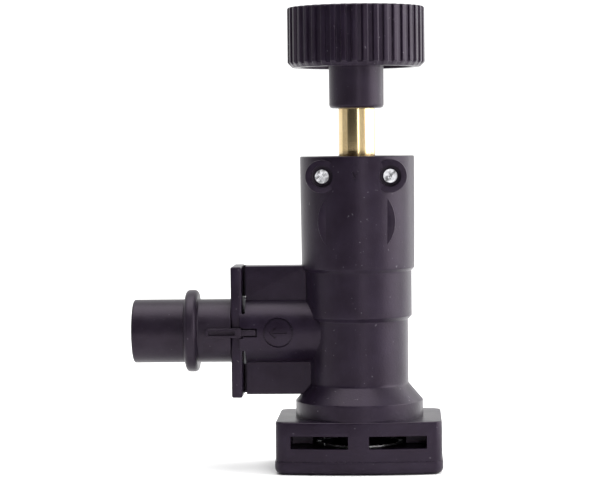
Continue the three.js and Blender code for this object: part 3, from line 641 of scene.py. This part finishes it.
flash_plan = bowed_plan(collar_half_width - 0.05, neck_radius + 0.05, 1.8, 2.2)
base_ring = solid(
    "base_ring_moulding",
    [
        slab(
            base_plan,
            0,
            ring_top,
            1.55,
            0.12,
            hole=[(ring_bore + 0.8, 0), (ring_bore, 0.8), (ring_bore, ring_top)],
            steps=8,
        ),
        bead(flash_plan, ring_top + 0.06, 0.23, 0.13),
    ],
)
base_ring.data.materials.append(black_nylon)
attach(base_ring, "body")
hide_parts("base_ring")

# ---------------------------------------------------------------- socket rings
# Inside the collar: a nylon backing ring, a sprung steel ring with teeth that grip
# the pipe and show through the windows, a spacer ring and a rubber seal.


def finish_for(piece, body, node, surface):
    """Gives a piece its material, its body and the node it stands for."""
    piece.data.materials.clear()
    piece.data.materials.append(surface)
    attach(piece, body)
    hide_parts(node)
    return piece


def plain_ring(name, inner, outer, low, high, edge):
    """A turned ring with a rectangular section and soft edges."""
    corners = [(inner, low, edge), (outer, low, edge), (outer, high, edge), (inner, high, edge)]
    return solid(name, [turned(soft_outline(corners, 4))])


grey_nylon = moulded_nylon(
    "grey_black_nylon", (0.0095, 0.0065, 0.0115), (0.0170, 0.0130, 0.0200), 0.30, 0.42, 0.000032
)
backing_low, backing_high = corners_mm("socket_backing_ring")
backing_ring = plain_ring(
    "socket_backing_ring_turned", pipe_radius + 0.25, backing_high[0], backing_low[2], backing_high[2], 0.12
)
finish_for(backing_ring, "body", "socket_backing_ring", black_nylon)
spacer_low, spacer_high = corners_mm("socket_spacer_ring")
spacer_ring = plain_ring(
    "socket_spacer_ring_turned", pipe_radius + 0.2, spacer_high[0], spacer_low[2], spacer_high[2], 0.15
)
finish_for(spacer_ring, "body", "socket_spacer_ring", grey_nylon)


def drawn_steel(name, tint, rough_low, rough_high, scratch_stretch, depth):
    """Bright steel with fine scratches along one direction and small dull patches."""
    made, tree, shader = material(name)
    coords = object_coords(tree)
    patches = noise(tree, coords, 700, 4)
    scratches = noise(tree, coords, 900, 3, 0.6, scratch_stretch)
    dull = tuple(0.72 * c for c in tint)
    colour = ramp(tree, patches, [(0.3, (*dull, 1)), (0.65, (*tint, 1))])
    tree.links.new(colour, shader.inputs["Base Color"])
    tree.links.new(spread(tree, patches, rough_high, rough_low), shader.inputs["Roughness"])
    shader.inputs["Metallic"].default_value = 1.0
    bump(tree, shader, scratches, depth)
    return made


sheet_steel = drawn_steel("sheet_steel", (0.88, 0.88, 0.89), 0.30, 0.5, (1, 1, 0.2), 0.000012)


def toothed_ring(name, inner, outer, gap_floor, teeth, gap_share, middle, thickness, rise, columns=720):
    """A thin ring whose inner edge is cut into teeth that lean up.

    The inner radius is gap_floor over gap_share of each tooth's pitch and inner over
    the rest; the height rises with the square of the distance inside the outer edge.
    """
    angle = np.arange(columns) * 2 * np.pi / columns
    in_gap = (angle * teeth / (2 * np.pi)) % 1 < gap_share
    inside = np.where(in_gap, gap_floor, inner)
    across = np.linspace(0, 1, 7)[:, None]
    radius = outer + (inside - outer) * across
    height = middle + rise * ((outer - radius) / (outer - inner)) ** 2
    radius = np.vstack([radius, radius[::-1]])
    height = np.vstack([height - thickness / 2, height[::-1] + thickness / 2])
    ring = np.stack([radius * np.cos(angle), radius * np.sin(angle), height], -1)
    return solid(name, [net(ring, True, True)], 25)


grab_low, grab_high = corners_mm("socket_grab_ring")
grab_ring = toothed_ring(
    "socket_grab_ring_pressed", 8.6, grab_high[0], 9.3, 12, 0.2, grab_low[2] + 0.24, 0.3, 0.0
)
finish_for(grab_ring, "body", "socket_grab_ring", sheet_steel)


def seal_rubber(name):
    """Black seal rubber: a faint mottle, and a dull sheen from its grease."""
    made, tree, shader = material(name)
    coords = object_coords(tree)
    mottle = noise(tree, coords, 1200, 3)
    colour = ramp(tree, mottle, [(0.3, (0.010, 0.010, 0.011, 1)), (0.7, (0.022, 0.022, 0.023, 1))])
    tree.links.new(colour, shader.inputs["Base Color"])
    tree.links.new(spread(tree, mottle, 0.42, 0.62), shader.inputs["Roughness"])
    bump(tree, shader, mottle, 0.00001)
    return made


rubber = seal_rubber("black_rubber")


def seal(name, node, section, body, axis="z"):
    """A round-section rubber ring as large as its node's box."""
    low, high = corners_mm(node)
    outer = (high[1] - low[1]) / 2
    middle = (low + high) / 2
    turn = np.arange(24) * 2 * np.pi / 24
    outline = np.stack([outer - section + section * np.cos(turn), section * np.sin(turn)], 1)
    ring = solid(name, [turned(outline, 144, axis=axis, centre=middle)])
    finish_for(ring, body, node, rubber)
    return ring


seal("socket_oring_moulded", "socket_oring", 0.86, "body")

# ---------------------------------------------------------------- gland bush, seals and wiper
# A brass bush turned from bar, held in the head by the staple. A rubber ring seals
# it in its bore, and a wiper ring at its top keeps dirt off the spindle.


def turned_brass(name, axis_stretch):
    """Brass as it leaves the lathe: bright, with fine rings round the axis and a faint tarnish."""
    made, tree, shader = material(name)
    coords = object_coords(tree)
    tarnish = noise(tree, coords, 140, 4)
    rings = noise(tree, coords, 6000, 2, 0.5, axis_stretch)
    tree.links.new(
        ramp(tree, tarnish, [(0.3, (0.66, 0.49, 0.25, 1)), (0.7, (0.82, 0.65, 0.38, 1))]),
        shader.inputs["Base Color"],
    )
    tree.links.new(spread(tree, tarnish, 0.24, 0.14), shader.inputs["Roughness"])
    shader.inputs["Metallic"].default_value = 1.0
    bump(tree, shader, rings, 0.000004)
    return made


brass = turned_brass("brass", (0.02, 0.02, 1))
bush_low, bush_high = corners_mm("gland_bush")
bush_radius = gland_bore - 0.2
spindle_radius = 4.0
gland_seal_low, gland_seal_high = corners_mm("gland_oring")
groove_half = (gland_seal_high[2] - gland_seal_low[2]) / 2 + 0.3
gland_seal_z = (gland_seal_low[2] + gland_seal_high[2]) / 2
staple_wire = 1.5
bush_groove_floor = 6.54
bush_nose_radius = chamber_radius - 0.6
staple_groove_floor = staple_x - staple_wire - 0.3
wiper_well_radius = spindle_radius + 1.48
bush_bore, bush_lower_bore = spindle_radius + 0.08, spindle_radius + 0.75
bush_outline = soft_outline(
    [
        (bush_lower_bore, bush_low[2], 0.1),
        (bush_nose_radius, bush_low[2], 0.4),
        (bush_nose_radius, gland_shelf + 0.3, 0.1),
        (bush_radius, gland_shelf + 0.3, 0.2),
        (bush_radius, gland_seal_z - groove_half, 0.1),
        (bush_groove_floor, gland_seal_z - groove_half, 0.1),
        (bush_groove_floor, gland_seal_z + groove_half, 0.1),
        (bush_radius, gland_seal_z + groove_half, 0.1),
        (bush_radius, staple_z - staple_wire - 0.2, 0.1),
        (staple_groove_floor, staple_z - staple_wire - 0.2, 0.4),
        (staple_groove_floor, staple_z + staple_wire + 0.2, 0.4),
        (bush_radius, staple_z + staple_wire + 0.2, 0.1),
        (bush_radius, bush_high[2], 0.35),
        (wiper_well_radius, bush_high[2], 0.15),
        (wiper_well_radius, bush_high[2] - 1.4, 0.1),
        (bush_bore, bush_high[2] - 1.4, 0.05),
        (bush_bore, gland_shelf + 6.5, 0.05),
        (bush_lower_bore, gland_shelf + 6.5, 0.05),
    ],
    3,
)
bush = solid("gland_bush_turned", [turned(bush_outline)])
finish_for(bush, "body", "gland_bush", brass)
seal("gland_oring_moulded", "gland_oring", 0.9, "body")
wiper_low, wiper_high = corners_mm("spindle_wiper")
wiper_outline = soft_outline(
    [
        (bush_bore, wiper_low[2], 0.1),
        (wiper_high[0], wiper_low[2], 0.15),
        (wiper_high[0], wiper_high[2] - 0.3, 0.2),
        (spindle_radius + 0.5, wiper_high[2] - 0.3, 0.1),
        (bush_bore, wiper_high[2], 0.05),
    ],
    4,
)
wiper = solid("spindle_wiper_moulded", [turned(wiper_outline)])
finish_for(wiper, "body", "spindle_wiper", rubber)

# ---------------------------------------------------------------- gland staple
# One length of 3 mm bright wire bent to a staple and pushed through the body from
# behind. Its front ends were sheared off and left rough.


def rough(x, y):
    """A lumpy height over a plane, in -1 to 1: the mean of five crossed sine waves."""
    waves = [(3.1, 0.6, 0.3), (-1.7, 4.3, 1.1), (5.3, 3.7, 2.0), (8.9, -6.1, 0.5), (-11.3, 9.7, 4.0)]
    return sum(np.sin(a * x + b * y + c) for a, b, c in waves) / len(waves)


def bent_wire(name, wire, leg_x, tip_y, bow_y, corner, height, shear):
    """A U of round wire: legs along Y, a bow along X and quarter-circle corners.

    The section's two directions are Z and the path's own normal. Each end closes on
    rows of shrinking radius whose depth is rough() with a diagonal step.
    """
    bend = np.linspace(0, np.pi / 2, 17)
    leg_y = np.linspace(tip_y, bow_y - corner, 24)
    left = np.stack([np.full(24, -leg_x), leg_y], 1)
    turn_x = -leg_x + corner - corner * np.cos(bend)
    turn_y = bow_y - corner + corner * np.sin(bend)
    first = np.vstack([left, np.stack([turn_x, turn_y], 1)[1:]])
    path = np.vstack([first, (first * (-1, 1))[::-1]])
    along = np.gradient(path, axis=0)
    along /= np.linalg.norm(along, axis=1, keepdims=True)
    side = np.stack([along[:, 1], -along[:, 0]], 1)
    turn = np.arange(48) * 2 * np.pi / 48
    shrink = np.array([0, 0.12, 0.28, 0.45, 0.62, 0.78, 0.9, 0.97])

    def section(i, radius, push):
        flat = path[i] + side[i] * (radius * np.cos(turn))[:, None] - along[i] * np.reshape(push, (-1, 1))
        return np.column_stack([flat, height + radius * np.sin(turn)])

    def end_rows(i, step, sign):
        rows = []
        for share in shrink:
            u, v = wire * share * np.cos(turn), wire * share * np.sin(turn)
            lump = 0.16 * rough(1.3 * u + 3 * sign, 1.3 * v) - step * np.tanh(4 * (u - sign * v))
            rows.append(section(i, wire * share, sign * (lump * (1 - share**6) - 0.12)))
        return rows

    body = [section(i, wire, np.zeros(48)) for i in range(len(path))]
    start, end = end_rows(0, shear[0], 1), end_rows(len(path) - 1, shear[1], -1)
    return solid(name, [net(np.array(start + body + end[::-1]), False, True)], 30)


staple_low, staple_high = corners_mm("gland_staple")
staple = bent_wire(
    "gland_staple_bent",
    staple_wire,
    staple_x,
    staple_low[1],
    staple_high[1] - staple_wire,
    3.0,
    staple_z,
    (0.05, 0.16),
)
wire_steel = drawn_steel("wire_steel", (0.55, 0.55, 0.57), 0.24, 0.5, (1, 0.08, 1), 0.00012)
finish_for(staple, "body", "gland_staple", wire_steel)

# ---------------------------------------------------------------- side spigot
# A separate moulding in a slightly greyer, rougher nylon: a tail in the body's
# bore, then a 14 mm tube with a bead. A key and a thin tongue stop it turning.
spigot_low, spigot_high = corners_mm("side_spigot")
spigot_end = -spigot_low[0]
tail_end = 14.5
seal_distance = tail_end + 4.5
fork_distance = web_end + 0.35
shoulder = plate_far + 0.05
bead_centre = plate_far + 8.9
spigot_radius = 7.03
bead_radius = (spigot_high[2] - spigot_low[2]) / 2
tail_radius, tail_bore = 5.4, 3.3
spigot_bore = 5.5
spigot_seal_floor, spigot_seal_half = 4.24, 0.82
fork_groove_floor, fork_groove_half = 4.2, 0.35
spigot_outline = soft_outline(
    [
        (tail_bore, tail_end, 0.15),
        (5.0, tail_end, 0.3),
        (tail_radius, tail_end + 1.2, 0.4),
        (tail_radius, seal_distance - spigot_seal_half, 0.05),
        (spigot_seal_floor, seal_distance - spigot_seal_half, 0.1),
        (spigot_seal_floor, seal_distance + spigot_seal_half, 0.1),
        (tail_radius, seal_distance + spigot_seal_half, 0.05),
        (tail_radius, fork_distance - fork_groove_half, 0.05),
        (fork_groove_floor, fork_distance - fork_groove_half, 0.1),
        (fork_groove_floor, fork_distance + fork_groove_half, 0.1),
        (tail_radius, fork_distance + fork_groove_half, 0.05),
        (tail_radius, shoulder, 0.05),
        (spigot_radius - 0.02, shoulder, 0.12),
        (spigot_radius - 0.02, bead_centre - 1.45, 0.3),
        (bead_radius, bead_centre - 1.3, 0.95),
        (bead_radius, bead_centre + 1.3, 0.95),
        (spigot_radius, bead_centre + 1.6, 0.25),
        (spigot_radius, spigot_end, 0.5),
        (spigot_bore, spigot_end, 0.3),
        (spigot_bore, shoulder + 1.4, 0.1),
        (tail_bore, shoulder + 1.4, 0.1),
    ],
    6,
)
spigot = solid("side_spigot_moulding", [turned(spigot_outline, 224, axis="-x", centre=arm_centre)])


def facing_front(made):
    """Lays a slab made in (x, y) to face -Y at the arm: y becomes height, height becomes -Y."""
    points, faces = made
    return np.stack([points[:, 0], -points[:, 2], arm_height + points[:, 1]], 1), faces


def rounded_bar(near, far, half_width, near_corner, far_corner):
    """Plan of a bar along the arm between two distances from the valve's axis."""
    return soft_outline(
        [
            (-near, -half_width, near_corner),
            (-near, half_width, near_corner),
            (-far, half_width, far_corner),
            (-far, -half_width, far_corner),
        ],
        8,
    )


key_face = 7.88
key_plan = rounded_bar(plate_near + 0.1, plate_near + 8, key_half, 0.2, 0.95)
sink_plan = rounded_bar(plate_near + 1.4, plate_near + 7.35, 0.5, 0.1, 0.42)
tongue_plan = rounded_bar(plate_near - tongue_reach, plate_near + 0.93, 0.62, 0.2, 0.2)
key = solid("key", [facing_front(slab(key_plan, 6.45, key_face, 0.05, 0.16))])
key_sink = solid("key_sink", [facing_front(slab(sink_plan, key_face - 0.75, key_face + 1, 0.05))])
tongue = solid("tongue", [facing_front(slab(tongue_plan, 6.57, key_face - 0.4, 0.06, 0.15))])
combine(spigot, [key, tongue], "UNION")
combine(spigot, [key_sink], "DIFFERENCE")
finish_for(spigot, "body", "side_spigot", grey_nylon)
seal("spigot_oring_moulded", "spigot_oring", 0.6, "body", "-x")

# ---------------------------------------------------------------- handwheel
# A deep nylon cap: square shallow ribs outside, a hollow underneath round a long
# hub, and a shallow dish on top with a well for the screw.
wheel_low, wheel_high = corners_mm("handwheel")
wheel_radius = wheel_high[0]
wheel_top = wheel_high[2]
hub_bottom = wheel_low[2]
wheel_bottom = hub_bottom + 9.0
hub_radius = 6.0
rib_count = 40
well_floor = wheel_top - 5.8
shoulder_top = hub_bottom + 3.6
hub_bore = 4.2
rim_inner = wheel_radius - 2.75
crown_underside = 97.0
dish_floor = wheel_top - 0.8
screw_well, washer_seat = 4.4, 3.8
rib_depth = 0.5
socket_half = 2.7


def ribbed_wheel(name, columns_per_rib=18):
    """The wheel's outline turned round Z, its outer rows pushed in between the ribs.

    A rib's profile is a smoothed square wave, 0.5 + 0.5 tanh(k cos(n a)) / tanh(k), so the
    radius is r - depth * share * (1 - wave); the square socket's rows have the radius
    h / max(|cos a|, |sin a|).
    """
    rows = [
        (hub_bore, hub_bottom, 0.1, 0, 0),
        (hub_radius, hub_bottom, 0.8, 0, 0),
        (hub_radius + 0.08, crown_underside, 0.5, 0, 0),
        (rim_inner, crown_underside, 0.6, 0, 0),
        (rim_inner, wheel_bottom, 0.2, 0, 0),
        (wheel_radius - 1.05, wheel_bottom, 0.2, 0, 0),
        (wheel_radius - 0.3, wheel_bottom + 0.75, 0.25, 0.3, 0),
        (wheel_radius, wheel_bottom + 1.1, 0.1, 1, 0),
        (wheel_radius, wheel_top, 0.45, 1, 0),
        (wheel_radius - 1.5, wheel_top, 0.1, 0, 0),
        (wheel_radius - 1.85, dish_floor, 0.25, 0, 0),
        (screw_well, dish_floor, 0.2, 0, 0),
        (screw_well, well_floor, 0.15, 0, 0),
        (washer_seat, well_floor, 0.05, 0, 1),
        (washer_seat, shoulder_top + 0.1, 0.05, 0, 1),
        (hub_bore, shoulder_top + 0.1, 0.02, 0, 0),
    ]
    steps = 5
    outline = soft_outline([row[:3] for row in rows], steps)
    share = np.repeat([row[3] for row in rows], steps + 1)[:, None]
    square = np.repeat([row[4] for row in rows], steps + 1)[:, None]
    angle = np.arange(rib_count * columns_per_rib) * 2 * np.pi / (rib_count * columns_per_rib)
    wave = 0.5 + 0.5 * np.tanh(5 * np.cos(rib_count * angle)) / np.tanh(5)
    radius = outline[:, :1] - rib_depth * share * (1 - wave)
    socket = socket_half / np.maximum(np.abs(np.cos(angle)), np.abs(np.sin(angle)))
    radius = np.where(square > 0, np.minimum(socket, hub_bore), radius)
    height = outline[:, 1:] + 0 * angle
    points = np.stack([radius * np.cos(angle), radius * np.sin(angle), height], -1)
    return solid(name, [net(points, True, True)])


handwheel = ribbed_wheel("handwheel_moulding")
finish_for(handwheel, "wheel", "handwheel", black_nylon)

# ---------------------------------------------------------------- spindle and its seals
# Turned from 8 mm brass bar and polished where it shows. It has two seal grooves,
# a rolled thread inside the bush, a nose that turns in the disc holder and a square top.
spindle_low, spindle_high = corners_mm("spindle")
lower_seal_z = sum(c[2] for c in corners_mm("spindle_oring_lower")) / 2
upper_seal_z = sum(c[2] for c in corners_mm("spindle_oring_upper")) / 2
holder_high = corners_mm("disc_holder")[1]
clip_z = sum(c[2] for c in corners_mm("spindle_clip")) / 2
nose_radius, clip_groove_floor, clip_groove_half = 2.6, 2.0, 0.4
spindle_neck_radius, thread_radius = 3.4, 4.6
seal_groove_floor, seal_groove_half = 2.78, 0.75
square_half = 2.5


def groove(radius, floor, middle, half, edge):
    """The four (radius, height, corner) rows of a square groove, from the bottom up."""
    low, high = middle - half, middle + half
    return [(radius, low, edge), (floor, low, edge), (floor, high, edge), (radius, high, edge)]


def spindle_rows():
    """(radius, height, corner) from the nose up to the shoulder under the square."""
    rows = [(0, spindle_low[2], 0), (nose_radius, spindle_low[2], 0.3)]
    rows += groove(nose_radius, clip_groove_floor, clip_z, clip_groove_half, 0.05)
    rows += [
        (nose_radius, holder_high[2] + 0.4, 0.1),
        (spindle_neck_radius, holder_high[2] + 0.6, 0.1),
        (spindle_neck_radius, bush_low[2] - 2.8, 0.1),
        (thread_radius, bush_low[2] - 2.2, 0.2),
        (thread_radius, gland_shelf + 6.0, 0.3),
        (spindle_radius, gland_shelf + 6.2, 0.1),
    ]
    for z in (lower_seal_z, upper_seal_z):
        rows += groove(spindle_radius, seal_groove_floor, z, seal_groove_half, 0.1)
    return rows + [(spindle_radius, shoulder_top, 0.25), (0, shoulder_top, 0)]


def square_bar(half, low, high, edge):
    """A square bar with soft edges, as a slab."""
    corners = [(half, -half), (half, half), (-half, half), (-half, -half)]
    plan = soft_outline([(*corner, edge) for corner in corners], 5)
    return slab(plan, low, high, edge * 0.9)


spindle = lathe("spindle_turned", spindle_rows(), 160, steps=4)
square = solid("square", [square_bar(square_half, shoulder_top - 0.5, spindle_high[2], 0.3)])
combine(spindle, [square], "UNION")
screw_hole = lathe(
    "screw_hole",
    [
        (0, spindle_high[2] - 9, 0),
        (1.4, spindle_high[2] - 8.5, 0.1),
        (1.4, spindle_high[2] + 1, 0.1),
        (0, spindle_high[2] + 1, 0),
    ],
    64,
    steps=3,
)
combine(spindle, [screw_hole], "DIFFERENCE")
finish_for(spindle, "wheel", "spindle", brass)
seal("spindle_oring_lower_moulded", "spindle_oring_lower", 0.54, "wheel")
seal("spindle_oring_upper_moulded", "spindle_oring_upper", 0.54, "wheel")

# ---------------------------------------------------------------- wheel screw and washer
# A pan-head screw with a cross recess and a plain steel washer hold the wheel on
# the spindle's square. Both are zinc-plated steel.
screw_low, screw_high = corners_mm("handwheel_screw")
washer_low, washer_high = corners_mm("handwheel_washer")
head_bottom = washer_high[2] + 0.05
screw_shank, screw_head = 1.2, 2.9
wheel_screw = lathe(
    "handwheel_screw_headed",
    [
        (0, screw_low[2], 0),
        (screw_shank, screw_low[2], 0.2),
        (screw_shank, head_bottom, 0.05),
        (screw_head, head_bottom, 0.1),
        (screw_head, screw_high[2] - 0.6, 0.8),
        (0, screw_high[2], 0),
    ],
    96,
)
recess = [
    solid(f"recess_{i}", [soft_box((-a, -b, screw_high[2] - 1.1), (a, b, screw_high[2] + 1), 0.1)])
    for i, (a, b) in enumerate([(1.5, 0.34), (0.34, 1.5)])
]
combine(wheel_screw, recess, "DIFFERENCE")
finish_for(wheel_screw, "wheel", "handwheel_screw", sheet_steel)
wheel_washer = plain_ring(
    "handwheel_washer_stamped", 1.4, washer_high[0], washer_low[2], washer_high[2], 0.08
)
finish_for(wheel_washer, "wheel", "handwheel_washer", sheet_steel)


def coil(name, radius, wire, start, end, turns, points_per_turn=40):
    """Round wire on a helix along X: y = r cos a, z = r sin a, x even in a between the ends.

    The section's two directions are the radius and the path's own binormal.
    """
    angle = np.linspace(0, 2 * np.pi * turns, int(turns * points_per_turn))
    radial = np.stack([0 * angle, np.cos(angle), np.sin(angle)], 1)
    path = radius * radial
    path[:, 0] = np.linspace(start - wire, end + wire, len(angle))
    along = np.gradient(path, axis=0)
    across = np.cross(along, radial)
    across /= np.linalg.norm(across, axis=1, keepdims=True)
    turn = np.arange(14) * 2 * np.pi / 14
    rows = path[:, None] + wire * (
        np.cos(turn)[:, None] * radial[:, None] + np.sin(turn)[:, None] * across[:, None]
    )
    rows[..., 2] += arm_height
    ends = [np.broadcast_to(rows[i].mean(0), (1, 14, 3)) for i in (0, -1)]
    return solid(name, [net(np.concatenate([ends[0], rows, ends[1]]), False, True)])


spring_low, spring_high = corners_mm("check_spring")
spring_wire = 0.28
coil_radius = (spring_high[1] - spring_low[1]) / 2 - spring_wire
spring = coil("check_spring_coiled", coil_radius, spring_wire, spring_high[0], spring_low[0], 4.5)
finish_for(spring, "body", "check_spring", sheet_steel)
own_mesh(spring)

# ---------------------------------------------------------------- hidden pieces
# The disc, the clips, the strainer and the rest of the check valve keep the frame's
# own shapes, with their edges broken as tumbling leaves them.


def moulded_acetal(name):
    """Natural acetal: milky white, a little translucent, with faint flow marks."""
    made, tree, shader = material(name)
    coords = object_coords(tree)
    flow = noise(tree, coords, 260, 4, 0.5, (1, 1, 3))
    colour = ramp(tree, flow, [(0.3, (0.66, 0.64, 0.57, 1)), (0.7, (0.78, 0.76, 0.70, 1))])
    tree.links.new(colour, shader.inputs["Base Color"])
    tree.links.new(spread(tree, flow, 0.3, 0.45), shader.inputs["Roughness"])
    shader.inputs["Subsurface Weight"].default_value = 0.15
    shader.inputs["Subsurface Scale"].default_value = 0.001
    bump(tree, shader, flow, 0.00001)
    return made


# The fork clip's steel is painted near-black. This is painted shade for the deep, narrow slot the clip sits
# in, where its own bright steel would otherwise show.
slot_shade_dark_steel = drawn_steel("slot_shade_dark_steel", (0.16, 0.16, 0.17), 0.3, 0.45, (1, 0.2, 1), 0.00002)
carried = {
    "natural_acetal": moulded_acetal("natural_acetal"),
    "brass": brass,
    "bright_steel": sheet_steel,
    "black_rubber": rubber,
}
kept = {
    "inlet_strainer": "natural_acetal",
    "check_cage": "natural_acetal",
    "check_guide": "natural_acetal",
    "check_poppet": "natural_acetal",
    "check_poppet_seal": "black_rubber",
    "spigot_fork_clip": "bright_steel",
    "spindle_clip": "bright_steel",
    "disc_holder": "brass",
    "disc_washer": "black_rubber",
    "disc_washer_screw": "brass",
}
for node, slot_name in kept.items():
    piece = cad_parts[node]
    piece.data.materials.clear()
    # The fork clip alone gets the near-black steel, a painted shade for its slot; the other pieces keep
    # their own finishes.
    piece.data.materials.append(slot_shade_dark_steel if node == "spigot_fork_clip" else carried[slot_name])
    edges = piece.modifiers.new("broken_edges", "BEVEL")
    edges.width = 0.06 * MM
    edges.segments = 2
    edges.limit_method = "ANGLE"
    edges.angle_limit = np.radians(35)

# ---------------------------------------------------------------- camera and light
# A long lens a little right of the valve and above its middle, rolled by under a
# degree. The room is white, with a dark card in front and grey ones beside it.
EYE = Vector((11.0, -490.0, 72.0)) * MM
AIM = Vector((-12.8, 0.0, 50.45)) * MM
FIELD_OF_VIEW = 15.4
LEAN = 0.66

camera = bpy.data.objects.new("camera", bpy.data.cameras.new("camera"))
bpy.context.scene.collection.objects.link(camera)
camera.location = EYE
level = (AIM - EYE).to_track_quat("-Z", "Y")
camera.rotation_euler = (level @ Quaternion((0, 0, 1), np.radians(-LEAN))).to_euler()
camera.data.angle = np.radians(FIELD_OF_VIEW)
camera.data.clip_start = 0.01
bpy.context.scene.camera = camera

floor_plan = 9e4 * np.array([(1, -1), (1, 1), (-1, 1), (-1, -1)], float)
floor = solid("floor", [slab(floor_plan, -20, 0, 0.5)])
floor_paint, _, floor_shader = material("floor_paint")
floor_shader.inputs["Base Color"].default_value = (0.96, 0.96, 0.96, 1)
floor_shader.inputs["Roughness"].default_value = 0.7
floor.data.materials.append(floor_paint)

world = bpy.data.worlds.new("studio")
bpy.context.scene.world = world
world.use_nodes = True
world.node_tree.nodes["Background"].inputs["Color"].default_value = (1, 1, 1, 1)
world.node_tree.nodes["Background"].inputs["Strength"].default_value = 1.25
bpy.context.scene.view_settings.view_transform = "Standard"


def card(name, azimuth_from, azimuth_to, distance, low, high, shade):
    """A studio card standing on part of a circle round the valve, unseen by the camera.

    Azimuth 0 is towards -Y and 90 towards +X: x = d sin a, y = -d cos a.
    """
    turn = np.radians(np.linspace(azimuth_from, azimuth_to, 24))
    inner = np.stack([distance * np.sin(turn), -distance * np.cos(turn)], 1)
    plan = np.vstack([inner, inner[::-1] * (1 + 4 / distance)])
    stood = solid(name, [slab(plan, low, high, 0.5)])
    paint, _, shader = material(f"{name}_paint")
    shader.inputs["Base Color"].default_value = (shade, shade, shade, 1)
    shader.inputs["Roughness"].default_value = 0.9
    stood.data.materials.append(paint)
    stood.visible_camera = False


card("dark_card", -62, 9, 620, 2, 1500, 0.005)
card("grey_card", 15, 56, 640, 2, 1500, 0.30)
card("left_card", -102, -64, 640, 2, 1500, 0.28)


def soft_light(name, place, target, width, height, power):
    """A rectangular light of the given size in metres, facing its target."""
    lamp = bpy.data.lights.new(name, "AREA")
    lamp.shape = "RECTANGLE"
    lamp.size, lamp.size_y, lamp.energy = width, height, power
    holder = bpy.data.objects.new(name, lamp)
    bpy.context.scene.collection.objects.link(holder)
    holder.location = Vector(place)
    holder.rotation_euler = (Vector(target) - Vector(place)).to_track_quat("-Z", "Y").to_euler()
    return holder


soft_light("right_softbox", (0.62, -0.10, 0.16), (0, 0, 0.05), 0.5, 0.8, 7)
soft_light("rear_softbox", (0.50, 0.34, 0.16), (0, 0, 0.05), 0.4, 0.7, 2)
soft_light("front_strip", (0.12, -0.57, 0.07), (0, 0, 0.04), 0.02, 0.3, 0.35)
soft_light("top_softbox", (-0.1, -0.1, 0.95), (-0.1, 0, 0), 0.9, 0.9, 10)
